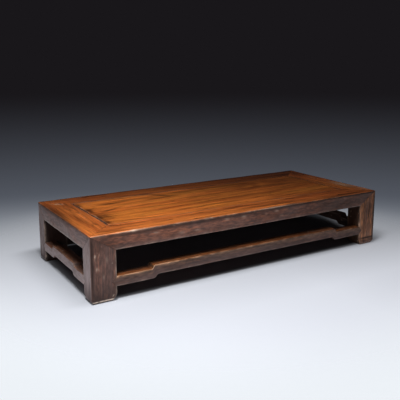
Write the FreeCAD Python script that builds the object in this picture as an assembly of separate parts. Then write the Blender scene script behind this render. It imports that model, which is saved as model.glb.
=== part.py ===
import FreeCAD, Part
import math
import os

# Low wooden display stand with flush sides: a mitred frame with a floating panel stands on
# four legs, and humpback stretchers tie the legs together near the floor.
# Every corner is a three-way mitre with hidden tenons, and the stretchers have mitred shoulders.
# Frame: millimetres, origin on the floor under the middle of the top, X along the length,
# Y from the front to the back, Z up.

Vector = FreeCAD.Vector

# Overall size
length = 560.0
width = 240.0
height = 100.0

# Frame members and legs
rail_height = 25.0
long_rail_width = 43.0
end_rail_width = 44.5
leg_x = 39.0
leg_y = 30.0

# Eased edges
outer_arris = 2.0
opening_arris = 1.2
stretcher_arris = 0.8
panel_bevel = 0.6
foot_bevel_run = 3.0
foot_bevel_rise = 5.0
inner_foot_bevel_run = 6.5
inner_foot_bevel_rise = 12.0

# Fit of the joints
cheek_clearance = 0.1
tenon_end_gap = 1.0

# Tall tenon of a leg, into the long rail
tall_tenon_length = 11.0
tall_tenon_thickness = 8.0
tall_tenon_setback = 7.0
tall_tenon_inset = 3.5
tall_tenon_cover = 6.0

# Short tenon of a leg, into the end rail
short_tenon_length = 8.0
short_tenon_thickness = 6.0
short_tenon_setback = 6.0
short_tenon_inset = 3.0
short_tenon_cover = 12.0

# Level tenon of a long rail, into the end rail
rail_tenon_width = 10.0
rail_tenon_thickness = 5.0
rail_tenon_margin = 2.0
rail_tenon_cover = 4.0
rail_tenon_stop = 8.0

# Floating panel and its groove
groove_cover = 5.5
tongue_thickness = 4.5
groove_depth = 7.0
tongue_slack = 1.5
tongue_clearance = 0.2
panel_drop = 0.3
panel_end_gap = 0.9
panel_side_gap = 0.5

# Dovetailed battens under the panel
batten_offset = 105.0
batten_width = 22.0
batten_drop = 11.0
batten_arris = 2.0
dovetail_root = 13.0
dovetail_flare = 1.5
dovetail_height = 3.2
dovetail_taper = 1.0
batten_tenon_width = 12.0
batten_tenon_height = 6.5
batten_tenon_length = 8.0
batten_tenon_shoulder = 2.5

# Humpback stretchers
stretcher_height = 15.0
stretcher_depth = 19.0
stretcher_clear = 21.0
hump_rise = 5.5
hump_top_run = 7.0
hump_bottom_run = 10.0
hump_bottom_lag = 3.0
long_low_end = 55.0
short_low_end = 37.0
shoulder_depth = 5.0
stretcher_tenon_thickness = 6.0
stretcher_tenon_height = 10.0
long_tenon_length = 20.0
short_tenon_reach = 18.0

# Places that follow from the sizes
half_length = length / 2
half_width = width / 2
rail_underside = height - rail_height
panel_underside = height - groove_cover - tongue_thickness
shoulder_reach = stretcher_height / 2
front_slope = rail_height / leg_x
end_slope = rail_height / leg_y
# The end mitre leans so that it meets the front mitre right under the mitre of the two rails.
end_lean = front_slope - end_slope * long_rail_width / end_rail_width
panel_half_span = half_width - long_rail_width
MIRROR_X = Vector(1, 0, 0)
MIRROR_Y = Vector(0, 1, 0)
# Cutters run past what they cut: by this length at a face, and by this factor along a slope.
OVERSHOOT = 1.0
REACH = 1.5
# Two places closer than this are the same place.
SAME = 1e-6


def corner(u, v, d):
    """The point u in from the left end, v in from the front and d below the top."""
    return Vector(-half_length + u, -half_width + v, height - d)


def block(low, high):
    """A box between two opposite points, given in any order."""
    start = Vector(min(low.x, high.x), min(low.y, high.y), min(low.z, high.z))
    end = Vector(max(low.x, high.x), max(low.y, high.y), max(low.z, high.z))
    size = end - start
    return Part.makeBox(size.x, size.y, size.z, start)


def prism(points, sweep):
    """A closed outline of points, carried along the vector sweep."""
    return Part.Face(Part.makePolygon(points + points[:1])).extrude(sweep)


def mirrored(shape, normal):
    """The shape's mirror image in the middle plane with this normal."""
    return shape.mirror(Vector(0, 0, 0), normal)


def with_mirror(shapes, normal):
    """A list of shapes with their mirror images."""
    return shapes + [mirrored(shape, normal) for shape in shapes]


def edges_at(shape, **place):
    """The straight edges whose middle lies at the given x, y or z values."""
    found = []
    for edge in shape.Edges:
        middle = edge.CenterOfMass
        if all(abs(getattr(middle, axis) - value) < SAME for axis, value in place.items()):
            found.append(edge)
    return found


def envelope():
    """The whole stand's outer block, with its top and upright edges rounded."""
    outside = block(corner(0, 0, 0), corner(length, width, height))
    rounded = [edge for edge in outside.Edges if edge.CenterOfMass.z > 0]
    return outside.makeFillet(outer_arris, rounded)


# Mitres of the front left corner: three planes that meet in one line through the corner point

def above_front_mitre():
    """The space above the mitre that shows on the front face and runs straight in from it."""
    top = -front_slope * OVERSHOOT
    outline = [corner(-OVERSHOOT, -OVERSHOOT, top),
               corner(REACH * leg_x, -OVERSHOOT, REACH * rail_height),
               corner(REACH * leg_x, -OVERSHOOT, top)]
    return prism(outline, Vector(0, leg_y + 2 * OVERSHOOT, 0))


def above_end_mitre():
    """The space above the mitre that shows on the end face and leans up as it runs in."""
    lean_out = -end_lean * OVERSHOOT
    top = lean_out - end_slope * OVERSHOOT
    outline = [corner(-OVERSHOOT, -OVERSHOOT, top),
               corner(-OVERSHOOT, REACH * leg_y, REACH * rail_height + lean_out),
               corner(-OVERSHOOT, REACH * leg_y, top)]
    run = leg_x + 2 * OVERSHOOT
    return prism(outline, Vector(run, 0, -end_lean * run))


def beside_top_mitre(front):
    """The space in front of or behind the upright mitre between the two rails."""
    reach_u, reach_v = REACH * end_rail_width, REACH * long_rail_width
    third = corner(reach_u, 0, -OVERSHOOT) if front else corner(0, reach_v, -OVERSHOOT)
    outline = [corner(0, 0, -OVERSHOOT), corner(reach_u, reach_v, -OVERSHOOT), third]
    return prism(outline, Vector(0, 0, -rail_height - 2 * OVERSHOOT))


def leg_stock():
    """The front left leg with its pointed top, before its edges are eased."""
    column = block(corner(0, 0, 0), corner(leg_x, leg_y, height))
    return column.cut([above_front_mitre(), above_end_mitre()])


# Tenons, each grown by its clearance where it is used to cut the mortise

def tall_tenon(grow=0.0, gap=0.0):
    """The leg's tenon that stands up into the long rail."""
    end_u = leg_x - tall_tenon_inset
    low = corner(end_u - tall_tenon_length - grow, tall_tenon_setback - grow, rail_height + OVERSHOOT)
    high = corner(end_u + grow, tall_tenon_setback + tall_tenon_thickness + grow, tall_tenon_cover - gap)
    return block(low, high)


def short_tenon(grow=0.0, gap=0.0):
    """The leg's tenon that stands up into the end rail, under the long rail's tenon."""
    end_v = leg_y - short_tenon_inset
    low = corner(short_tenon_setback - grow, end_v - short_tenon_length - grow, rail_height + OVERSHOOT)
    high = corner(short_tenon_setback + short_tenon_thickness + grow, end_v + grow, short_tenon_cover - gap)
    return block(low, high)


def rail_tenon(grow=0.0, gap=0.0):
    """The long rail's level tenon, which crosses the top mitre into the end rail."""
    outer_v = long_rail_width - groove_depth - rail_tenon_margin - rail_tenon_width
    low = corner(rail_tenon_stop - gap, outer_v - grow, rail_tenon_cover - grow)
    high = corner(end_rail_width, outer_v + rail_tenon_width + grow,
                  rail_tenon_cover + rail_tenon_thickness + grow)
    return block(low, high)


def batten_tenon(side, grow=0.0, gap=0.0):
    """The tenon at the front end of the batten at x = side * batten_offset."""
    root = -half_width + long_rail_width
    middle = side * batten_offset
    top = panel_underside - batten_tenon_shoulder
    low = Vector(middle - batten_tenon_width / 2 - grow, root - batten_tenon_length - gap,
                 top - batten_tenon_height - grow)
    high = Vector(middle + batten_tenon_width / 2 + grow, root, top + grow)
    return block(low, high)


def dovetail(side, grow=0.0, reach=0.0):
    """The batten's dovetail, a little wider at the back so that it wedges tight."""
    middle = side * batten_offset
    foot, crown = panel_underside - OVERSHOOT, panel_underside + dovetail_height + grow
    ends = []
    for y in (-panel_half_span - reach, panel_half_span + reach):
        widen = dovetail_taper / 2 * y / panel_half_span
        root = (dovetail_root + widen) / 2 + grow
        head = root + dovetail_flare
        points = [Vector(middle - root, y, foot), Vector(middle + root, y, foot),
                  Vector(middle + head, y, crown), Vector(middle - head, y, crown)]
        ends.append(Part.makePolygon(points + points[:1]))
    return Part.makeLoft(ends, True, True)


def shoulder_wedge():
    """The pointed front shoulder at the left end of the front stretcher."""
    inner = -half_length + leg_x
    bottom = stretcher_clear
    outline = [Vector(inner, -half_width, bottom), Vector(inner, -half_width, bottom + stretcher_height),
               Vector(inner - shoulder_reach, -half_width, bottom + shoulder_reach)]
    return prism(outline, Vector(0, shoulder_depth, 0))


def end_shoulder_wedge():
    """The pointed outer shoulder at the front end of the left stretcher."""
    inner = -half_width + leg_y
    bottom = stretcher_clear
    outline = [Vector(-half_length, inner, bottom), Vector(-half_length, inner, bottom + stretcher_height),
               Vector(-half_length, inner - shoulder_reach, bottom + shoulder_reach)]
    return prism(outline, Vector(shoulder_depth, 0, 0))


def long_stretcher_tenon(grow=0.0, gap=0.0):
    """The tenon at the left end of the front stretcher, behind its pointed shoulder."""
    inner = -half_length + leg_x
    middle = stretcher_clear + stretcher_height / 2
    near = -half_width + shoulder_depth
    low = Vector(inner - long_tenon_length - gap, near - grow, middle - stretcher_tenon_height / 2 - grow)
    high = Vector(inner, near + stretcher_tenon_thickness + grow, middle + stretcher_tenon_height / 2 + grow)
    return block(low, high)


def short_stretcher_tenon(grow=0.0, gap=0.0):
    """The tenon at the front end of the left stretcher, clear of the front stretcher's tenon."""
    inner = -half_width + leg_y
    middle = stretcher_clear + stretcher_height / 2
    near = -half_length + shoulder_depth
    low = Vector(near - grow, inner - short_tenon_reach - gap, middle - stretcher_tenon_height / 2 - grow)
    high = Vector(near + stretcher_tenon_thickness + grow, inner, middle + stretcher_tenon_height / 2 + grow)
    return block(low, high)


# Pieces

def front_rail():
    """A long rail: mitred to the legs and end rails, grooved for the panel, mortised for the battens."""
    body = block(corner(0, 0, rail_height), corner(length, long_rail_width, 0))
    under_edges = edges_at(body, x=0.0, z=rail_underside)
    body = body.makeFillet(opening_arris, under_edges).common(envelope())
    body = body.cut(with_mirror([leg_stock(), beside_top_mitre(front=False)], MIRROR_X))
    level_tenon = rail_tenon().cut(beside_top_mitre(front=True))
    body = body.fuse(with_mirror([level_tenon], MIRROR_X))
    groove = block(corner(0, long_rail_width - groove_depth, groove_cover),
                   corner(length, long_rail_width + OVERSHOOT, groove_cover + tongue_thickness))
    leg_mortises = with_mirror([tall_tenon(cheek_clearance, tenon_end_gap)], MIRROR_X)
    batten_mortises = [batten_tenon(side, cheek_clearance, tenon_end_gap) for side in (-1, 1)]
    return body.cut([groove] + leg_mortises + batten_mortises).removeSplitter()


def left_end_rail():
    """An end rail: mitred to the legs and long rails, whose tenons it takes, and grooved for the panel."""
    body = block(corner(0, 0, rail_height), corner(end_rail_width, width, 0))
    under_edges = edges_at(body, y=0.0, z=rail_underside)
    body = body.makeFillet(opening_arris, under_edges).common(envelope())
    body = body.cut(with_mirror([leg_stock(), beside_top_mitre(front=True)], MIRROR_Y))
    groove = block(corner(end_rail_width - groove_depth, 0, groove_cover),
                   corner(end_rail_width + OVERSHOOT, width, groove_cover + tongue_thickness))
    mortises = [short_tenon(cheek_clearance, tenon_end_gap), rail_tenon(cheek_clearance, tenon_end_gap)]
    return body.cut([groove] + with_mirror(mortises, MIRROR_Y)).removeSplitter()


def foot_bevels():
    """Four wedges that bevel the bottom of the front left leg, the inner two larger than the outer."""
    before_x, before_y = -half_length - OVERSHOOT, -half_width - OVERSHOOT
    along_x, along_y = Vector(leg_x + 2 * OVERSHOOT, 0, 0), Vector(0, leg_y + 2 * OVERSHOOT, 0)
    sides = [(-half_length, foot_bevel_run, foot_bevel_rise),
             (-half_length + leg_x, -inner_foot_bevel_run, inner_foot_bevel_rise)]
    faces = [(-half_width, foot_bevel_run, foot_bevel_rise),
             (-half_width + leg_y, -inner_foot_bevel_run, inner_foot_bevel_rise)]
    wedges = []
    for x, run, rise in sides:
        outline = [Vector(x, before_y, 0), Vector(x + run, before_y, 0), Vector(x, before_y, rise)]
        wedges.append(prism(outline, along_y))
    for y, run, rise in faces:
        outline = [Vector(before_x, y, 0), Vector(before_x, y + run, 0), Vector(before_x, y, rise)]
        wedges.append(prism(outline, along_x))
    return wedges


def front_left_leg():
    """A leg: a pointed top with two tenons, two pairs of mortises for the stretchers, a bevelled foot."""
    body = block(corner(0, 0, 0), corner(leg_x, leg_y, height))
    upright_edges = [edge for edge in edges_at(body, z=height / 2)
                     if edge.CenterOfMass.x > -half_length or edge.CenterOfMass.y > -half_width]
    body = body.makeFillet(opening_arris, upright_edges).common(envelope())
    body = body.cut([above_front_mitre(), above_end_mitre()] + foot_bevels())
    body = body.fuse([tall_tenon(), short_tenon()])
    stretcher_seats = [shoulder_wedge(), long_stretcher_tenon(cheek_clearance, tenon_end_gap),
                       end_shoulder_wedge(), short_stretcher_tenon(cheek_clearance, tenon_end_gap)]
    return body.cut(stretcher_seats).removeSplitter()


def ogee(start, run, rise, upwards):
    """Two equal arcs that turn smoothly from level to level, from the point (along, z) named start."""
    along, z = start
    step = rise if upwards else -rise
    radius = (run * run + rise * rise) / (4 * rise)
    half_turn = math.asin(run / (2 * radius)) / 2
    dx, dz = radius * math.sin(half_turn), radius * (1 - math.cos(half_turn))
    sign = 1 if upwards else -1
    middle = (along + run / 2, z + step / 2)
    end = (along + run, z + step)
    first = (start, (along + dx, z + sign * dz), middle)
    second = (middle, (end[0] - dx, end[1] - sign * dz), end)
    return [first, second]


def humpback_outline(half_span, low_end):
    """Lines and arcs of a stretcher's side view, as (along, z) points: low ends and a raised middle."""
    bottom, top = stretcher_clear, stretcher_clear + stretcher_height
    runs = []
    for z, run, lag in ((bottom, hump_bottom_run, hump_bottom_lag), (top, hump_top_run, 0.0)):
        start = -half_span + low_end + lag
        rising = ogee((start, z), run, hump_rise, upwards=True)
        falling = ogee((-start - run, z + hump_rise), run, hump_rise, upwards=False)
        flat_left = ((-half_span, z), (start, z))
        crown = ((start + run, z + hump_rise), (-start - run, z + hump_rise))
        flat_right = ((-start, z), (half_span, z))
        runs.append([flat_left] + rising + [crown] + falling + [flat_right])
    ends = [((half_span, bottom), (half_span, top)), ((-half_span, bottom), (-half_span, top))]
    return runs[0] + runs[1] + ends


def humpback_body(half_span, low_end, place, sweep):
    """A stretcher between its shoulders: its outline, set up by place, carried along sweep and eased."""
    edges = []
    for points in humpback_outline(half_span, low_end):
        spots = [place(*point) for point in points]
        curve = Part.LineSegment(*spots) if len(spots) == 2 else Part.Arc(*spots)
        edges.append(curve.toShape())
    outline = Part.Wire(Part.__sortEdges__(edges))
    body = Part.Face(outline).extrude(sweep)
    shoulders = [place(-half_span, 0), place(half_span, 0)]
    along = (shoulders[1] - shoulders[0]).normalize()
    eased = []
    for edge in body.Edges:
        middle = edge.CenterOfMass
        inside = abs(along.dot(middle)) < half_span - SAME
        across = abs(edge.tangentAt(edge.FirstParameter).dot(sweep)) > SAME
        if inside and not across:
            eased.append(edge)
    return body.makeChamfer(stretcher_arris, eased)


def front_stretcher():
    """A long humpback stretcher, flush with the legs, with pointed shoulders and blind tenons."""
    def place(along, z):
        return Vector(along, -half_width, z)
    body = humpback_body(half_length - leg_x, long_low_end, place, Vector(0, stretcher_depth, 0))
    ends = with_mirror([shoulder_wedge(), long_stretcher_tenon()], MIRROR_X)
    return body.fuse(ends).removeSplitter()


def left_stretcher():
    """A short humpback stretcher for the end, joined in the same way."""
    def place(along, z):
        return Vector(-half_length, along, z)
    body = humpback_body(half_width - leg_y, short_low_end, place, Vector(stretcher_depth, 0, 0))
    ends = with_mirror([end_shoulder_wedge(), short_stretcher_tenon()], MIRROR_Y)
    return body.fuse(ends).removeSplitter()


def top_panel():
    """The floating panel: a tongue all round, eased upper edges, two dovetail slots underneath."""
    face_x = half_length - end_rail_width - panel_end_gap
    face_y = panel_half_span - panel_side_gap
    tongue_x = half_length - end_rail_width + groove_depth - tongue_slack
    tongue_y = panel_half_span + groove_depth - tongue_slack
    top = height - panel_drop
    field = block(Vector(-face_x, -face_y, panel_underside), Vector(face_x, face_y, top))
    rim = [edge for edge in field.Edges if abs(edge.CenterOfMass.z - top) < SAME]
    field = field.makeChamfer(panel_bevel, rim)
    tongue = block(Vector(-tongue_x, -tongue_y, panel_underside),
                   Vector(tongue_x, tongue_y, panel_underside + tongue_thickness - tongue_clearance))
    slots = [dovetail(side, cheek_clearance, groove_depth) for side in (-1, 1)]
    return field.fuse(tongue).cut(slots).removeSplitter()


def batten(side):
    """A batten that slides into the panel and is tenoned into both long rails."""
    middle = side * batten_offset
    bar = block(Vector(middle - batten_width / 2, -panel_half_span, panel_underside - batten_drop),
                Vector(middle + batten_width / 2, panel_half_span, panel_underside))
    bar = bar.makeFillet(batten_arris, edges_at(bar, y=0.0, z=panel_underside - batten_drop))
    tenons = with_mirror([batten_tenon(side)], MIRROR_Y)
    return bar.fuse([dovetail(side)] + tenons).removeSplitter()


def build():
    """Every piece of the stand by its name."""
    rail, end_rail, leg = front_rail(), left_end_rail(), front_left_leg()
    stretcher, end_stretcher = front_stretcher(), left_stretcher()
    back_left_leg = mirrored(leg, MIRROR_Y)
    return {
        "front_rail": rail,
        "back_rail": mirrored(rail, MIRROR_Y),
        "left_end_rail": end_rail,
        "right_end_rail": mirrored(end_rail, MIRROR_X),
        "top_panel": top_panel(),
        "left_batten": batten(-1),
        "right_batten": batten(1),
        "front_left_leg": leg,
        "front_right_leg": mirrored(leg, MIRROR_X),
        "back_left_leg": back_left_leg,
        "back_right_leg": mirrored(back_left_leg, MIRROR_X),
        "front_stretcher": stretcher,
        "back_stretcher": mirrored(stretcher, MIRROR_Y),
        "left_stretcher": end_stretcher,
        "right_stretcher": mirrored(end_stretcher, MIRROR_X),
    }


os.makedirs("parts", exist_ok=True)
for name, shape in build().items():
    shape.exportStep(os.path.join("parts", name + ".step"))
    print(name, "solids", len(shape.Solids), "valid", shape.isValid(), "volume", round(shape.Volume, 1))
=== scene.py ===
"""A low rosewood display stand: worn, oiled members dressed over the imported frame."""
import logging
import math
from collections.abc import Callable, Sequence
from dataclasses import dataclass, replace
from enum import Enum
from typing import Any

import bpy
import numpy as np
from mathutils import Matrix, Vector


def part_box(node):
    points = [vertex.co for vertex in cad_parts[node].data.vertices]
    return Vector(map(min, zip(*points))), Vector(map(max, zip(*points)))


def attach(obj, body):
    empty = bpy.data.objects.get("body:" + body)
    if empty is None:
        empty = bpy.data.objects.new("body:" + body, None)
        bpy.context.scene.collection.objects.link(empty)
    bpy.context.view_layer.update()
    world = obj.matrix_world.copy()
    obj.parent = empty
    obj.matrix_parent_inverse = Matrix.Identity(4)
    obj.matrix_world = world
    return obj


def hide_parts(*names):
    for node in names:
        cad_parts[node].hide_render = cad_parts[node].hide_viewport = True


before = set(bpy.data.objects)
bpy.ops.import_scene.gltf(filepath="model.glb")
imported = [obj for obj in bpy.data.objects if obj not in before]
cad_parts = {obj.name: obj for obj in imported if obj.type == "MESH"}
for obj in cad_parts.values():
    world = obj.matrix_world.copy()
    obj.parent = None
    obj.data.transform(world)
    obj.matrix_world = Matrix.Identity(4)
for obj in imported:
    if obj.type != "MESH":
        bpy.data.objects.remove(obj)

Array = np.ndarray
Pair = tuple[float, float]
Place = tuple[float, float, float]
Tree = bpy.types.NodeTree
Socket = bpy.types.NodeSocket
Material = bpy.types.Material
Piece = bpy.types.Object
EndField = Callable[[Array, Array], Array]
PlaceField = Callable[[Array, Array, Array], Array]

LOG = logging.getLogger("stand")
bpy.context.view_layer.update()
BODY = "root"
MM = 0.001

# How finely a member's surface is divided, with lengths in millimetres
ARC_STEPS = 5
SUPPORT_GAP = 0.5
SUPPORT_SHARE = 0.3
END_STEPS = (0.0, 0.07, 0.18, 0.35, 0.6, 1.1, 2.0, 3.4)
LEAST_STEP = 0.7 * END_STEPS[1]
STATION_DIGITS = 3
CAP_RINGS = (0.3, 0.65, 0.95)
SHARP_ANGLE = math.radians(42)

# The upward part of a normal at which a surface starts to count as a top, and the rest up to a full one
TOP_FROM = 0.55
TOP_RUN = 0.35

# Added to a member's seed, so that each of its patterns has draws of its own
RUB_SEED = 1
PLANING_SEED = 2
SCAR_SEED = 3

# The curve from sRGB values to linear light
SRGB_FULL = 255
SRGB_KNEE = 0.04045
SRGB_SLOPE = 12.92
SRGB_OFFSET = 0.055
SRGB_POWER = 2.4

# Kinds of node that are used more than once
MATH = "ShaderNodeMath"
VECTOR_MATH = "ShaderNodeVectorMath"
RANGE = "ShaderNodeMapRange"
MIX = "ShaderNodeMix"
SPLIT = "ShaderNodeSeparateXYZ"
PRINCIPLED = "ShaderNodeBsdfPrincipled"

# A mix node's sockets: its share, its two numbers, its two colours and the mixed colour
SHARE = 0
UNDER_NUMBER, OVER_NUMBER = 2, 3
UNDER, OVER = 6, 7
MIXED = 2
RGBA = {"data_type": "RGBA"}

# The fields that every member carries, and the output of the attribute node that reads each
FIELD_OUTPUTS = {
    "grain": "Vector",
    "fibre": "Vector",
    "wear": "Fac",
    "dirt_and_shade": "Fac",
    "mark": "Fac",
    "tone": "Fac",
    "film": "Fac",
    "gold": "Fac",
    "topside": "Fac",
}


class LongSide(Enum):
    """The two long sides, as the sign of y."""

    FRONT = -1
    BACK = 1


class EndSide(Enum):
    """The two ends, as the sign of x."""

    LEFT = -1
    RIGHT = 1


Side = LongSide | EndSide


class Slot(Enum):
    """The record's finish slots."""

    FRAME = "frame_wood"
    PANEL = "panel_wood"
    BATTEN = "batten_wood"


def linear(hex_colour: str) -> tuple[float, float, float, float]:
    """Turns an sRGB hex colour into linear light.

    Args:
        hex_colour: six hex digits after a hash sign.

    Returns:
        Red, green and blue in linear light, and full alpha.
    """
    parts = np.array([int(hex_colour[i:i + 2], 16) for i in (1, 3, 5)]) / SRGB_FULL
    curved = ((parts + SRGB_OFFSET) / (1 + SRGB_OFFSET)) ** SRGB_POWER
    light = np.where(parts <= SRGB_KNEE, parts / SRGB_SLOPE, curved)
    return (*light.tolist(), 1.0)


def add(tree: Tree, kind: str, inputs: dict[Any, Any], **settings: Any) -> bpy.types.NodeOutputs:
    """Adds a node, sets its settings and fills its inputs.

    Args:
        tree: the node tree that gets the node.
        kind: the node's type name.
        inputs: what goes into each input; a socket is linked, anything else is set as its value.
        settings: the node's own properties.

    Returns:
        The new node's outputs.
    """
    node = tree.nodes.new(kind)
    for name, value in settings.items():
        setattr(node, name, value)
    for key, value in inputs.items():
        if isinstance(value, Socket):
            tree.links.new(value, node.inputs[key])
        else:
            node.inputs[key].default_value = value
    return node.outputs


def set_down(name: str, data: bpy.types.ID) -> Piece:
    """Makes an object of a mesh, a lamp or a camera, and puts it in the scene at the origin.

    Args:
        name: the object's name.
        data: what it shows.

    Returns:
        The object.
    """
    made = bpy.data.objects.new(name, data)
    bpy.context.scene.collection.objects.link(made)
    return made


def smooth_step(t: Array) -> Array:
    """Rises from 0 to 1 as t does, level at both ends: 3 t squared less 2 t cubed."""
    held = np.clip(t, 0.0, 1.0)
    return held * held * (3 - 2 * held)


def rise_across(along: Array, half: float) -> Array:
    """Rises smoothly from 0 at minus half to 1 at plus half."""
    return smooth_step(0.5 + 0.5 * along / half)


def nothing(along: Array, p: Array, q: Array) -> Array:
    """Nought at every place of a member's surface."""
    return np.zeros_like(along)


def flush(p: Array, q: Array) -> Array:
    """Nought at every place of a member's section."""
    return np.zeros_like(p)


def both_ends(half: float, inset: EndField) -> tuple[EndField, EndField]:
    """Ends of a member that is the same at both: an inset in from minus half and from plus half.

    Args:
        half: half the member's length.
        inset: how far in an end lies at each place in the section.

    Returns:
        The start field and the end field.
    """
    def start(p: Array, q: Array) -> Array:
        """Where the member starts."""
        return -half + inset(p, q)

    def end(p: Array, q: Array) -> Array:
        """Where the member ends."""
        return half - inset(p, q)

    return start, end


@dataclass(frozen=True)
class Wander:
    """A smooth seeded wander along a line, in millimetres: a level plus a swing times a sum of sines.

    The length and the height of each sine are those of the one before times a ratio. The gain raises the
    sum to about one, because the sines seldom peak together.
    """

    wavelength: float
    swing: float = 1.0
    level: float = 0.0
    seed: int = 0
    layers: int = 4
    ratio: float = 0.53
    gain: float = 1.6

    def at(self, t: Array, seed: int = 0) -> Array:
        """Reads the wander.

        Args:
            t: places along the line, in millimetres.
            seed: the member's seed, added to the wander's own.

        Returns:
            The wander at each place.
        """
        phases = np.random.default_rng(self.seed + seed).uniform(0, 2 * math.pi, self.layers)
        shrink = self.ratio ** np.arange(self.layers)
        waves = shrink * np.sin(2 * math.pi * t[..., None] / (self.wavelength * shrink) + phases)
        return self.level + self.swing * (waves.sum(-1) / shrink.sum() * self.gain)


@dataclass(frozen=True)
class Span:
    """A stretch of a value from low to high, and what its two ends become."""

    low: float
    high: float
    first: float = 0.0
    last: float | Socket = 1.0

    def of(self, value: Socket) -> dict[int, Any]:
        """Inputs of a map range node that reads the value."""
        return {0: value, 1: self.low, 2: self.high, 3: self.first, 4: self.last}


@dataclass(frozen=True)
class StandSizes:
    """Main sizes of the stand in millimetres."""

    half_length: float
    half_width: float
    height: float
    rail_height: float
    long_rail: float
    end_rail: float
    leg_x: float
    leg_y: float
    stretcher_clear: float
    stretcher_depth: float
    panel_top: float
    panel_bottom: float
    tongue_x: float
    tongue_y: float

    @classmethod
    def from_frame(cls) -> "StandSizes":
        """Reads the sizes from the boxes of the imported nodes.

        Returns:
            The sizes.
        """
        def box(node: str) -> tuple[Array, Array]:
            """A node's lowest and highest corner in millimetres."""
            low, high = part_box(node)
            return np.array(low) / MM, np.array(high) / MM

        low, high = box("front_rail")
        end_low, end_high = box("left_end_rail")
        leg_low, leg_high = box("front_left_leg")
        bar_low, bar_high = box("front_stretcher")
        panel_low, panel_high = box("top_panel")
        return cls(
            half_length=-end_low[0],
            half_width=-low[1],
            height=high[2],
            rail_height=high[2] - low[2],
            long_rail=high[1] - low[1],
            end_rail=end_high[0] - end_low[0],
            leg_x=leg_high[0] - leg_low[0],
            leg_y=leg_high[1] - leg_low[1],
            stretcher_clear=bar_low[2],
            stretcher_depth=bar_high[1] - bar_low[1],
            panel_top=panel_high[2],
            panel_bottom=panel_low[2],
            tongue_x=panel_high[0],
            tongue_y=panel_high[1],
        )

    @property
    def front_fall(self) -> float:
        """Fall of a leg's top along the front face, per millimetre in from the end."""
        return self.rail_height / self.leg_x

    @property
    def side_fall(self) -> float:
        """Fall of a leg's top along the end face, per millimetre in from the long side."""
        return self.rail_height / self.leg_y

    @property
    def lean(self) -> float:
        """What the end face's plane gains per millimetre from the end, to meet the other at the mitre."""
        return self.front_fall - self.side_fall * self.long_rail / self.end_rail

    def lay(self, side: Side, along: Array, inward: Array, z: Array) -> Array:
        """Places of a member that lies along one side of the stand.

        Args:
            side: the side.
            along: place along the side.
            inward: distance in from its outer face.
            z: height above the floor.

        Returns:
            x, y and z of each place.
        """
        if isinstance(side, LongSide):
            return np.stack([along, side.value * (self.half_width - inward), z], -1)
        return np.stack([side.value * (self.half_length - inward), along, z], -1)

    def leg_drop(self, u: Array, v: Array) -> Array:
        """Depth of a leg's mitred top below the stand's top.

        The higher of two sloping planes: one falls from the end along the front face, the other from
        the front along the end face, and they meet over the mitre of the two rails.

        Args:
            u: distance in from the end.
            v: distance in from the long side.

        Returns:
            How far below the top the leg starts there.
        """
        return np.maximum(self.front_fall * u, self.side_fall * v + self.lean * u)

    def long_mitre(self, v: Array, w: Array) -> Array:
        """How far in a long rail starts, v in and w down: the greater of its mitre and the leg's slope."""
        over_leg = np.where(v <= self.leg_y, w * self.leg_x / self.rail_height, 0.0)
        return np.maximum(v * self.end_rail / self.long_rail, over_leg)

    def end_mitre(self, u: Array, w: Array) -> Array:
        """How far in from the side an end rail starts, at u in from the end and w down from the top.

        Args:
            u: distance in from the end.
            w: distance down from the top.

        Returns:
            The greater of the rails' mitre and the leg's leaning plane.
        """
        over_leg = np.minimum((w - self.lean * u) / self.side_fall, self.leg_y)
        over_leg = np.where(u <= self.leg_x, over_leg, 0.0)
        return np.maximum(u * self.long_rail / self.end_rail, over_leg)


@dataclass(frozen=True)
class Outline:
    """A closed section of a member in millimetres, with eased corners.

    Attributes:
        points: (n, 2) places round the section.
        normals: (n, 2) outward directions at those places.
        corners: (k, 2) the sharp corners before easing.
    """

    points: Array
    normals: Array
    corners: Array

    @classmethod
    def eased(cls, corners: Sequence[Sequence[float]], radii: Sequence[float], spacing: float) -> "Outline":
        """Draws a polygon with an arc at each corner.

        An arc starts and ends its radius times the tangent of half the turn from the corner. The straight
        runs between arcs are divided evenly, with a point close to each arc so that flats shade flat.

        Args:
            corners: the polygon's corners in order.
            radii: the arc's radius at each corner.
            spacing: distance between points on a straight run.

        Returns:
            The outline.
        """
        spots = np.array(corners, float)
        into = spots - np.roll(spots, 1, axis=0)
        into /= np.linalg.norm(into, axis=1, keepdims=True)
        out = np.roll(into, -1, axis=0)
        turn = np.arctan2(into[:, 0] * out[:, 1] - into[:, 1] * out[:, 0], (into * out).sum(1))
        setback = np.abs(np.tan(turn / 2)) * np.array(radii, float)
        begin = spots - into * setback[:, None]
        finish = spots + out * setback[:, None]
        runs = []
        for i, radius in enumerate(radii):
            left = np.array([-into[i, 1], into[i, 0]]) * np.sign(turn[i])
            centre = begin[i] + radius * left
            angle = turn[i] * np.linspace(0, 1, ARC_STEPS + 1)[:, None]
            arm = begin[i] - centre
            crossed = np.array([-arm[1], arm[0]])
            runs.append(centre + np.cos(angle) * arm + np.sin(angle) * crossed)
            run = begin[(i + 1) % len(spots)] - finish[i]
            length = float(np.linalg.norm(run))
            count = max(int(round((length - 2 * SUPPORT_GAP) / spacing)), 1)
            support = min(SUPPORT_GAP / length, SUPPORT_SHARE)
            runs.append(finish[i] + np.linspace(support, 1 - support, count + 1)[:, None] * run)
        points = np.concatenate(runs)
        ahead = np.roll(points, -1, axis=0)
        behind = np.roll(points, 1, axis=0)
        area = (points[:, 0] * ahead[:, 1] - points[:, 1] * ahead[:, 0]).sum()
        tangent = ahead - behind
        normals = np.stack([tangent[:, 1], -tangent[:, 0]], 1) * np.sign(area)
        normals /= np.linalg.norm(normals, axis=1, keepdims=True)
        return cls(points, normals, spots)


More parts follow.
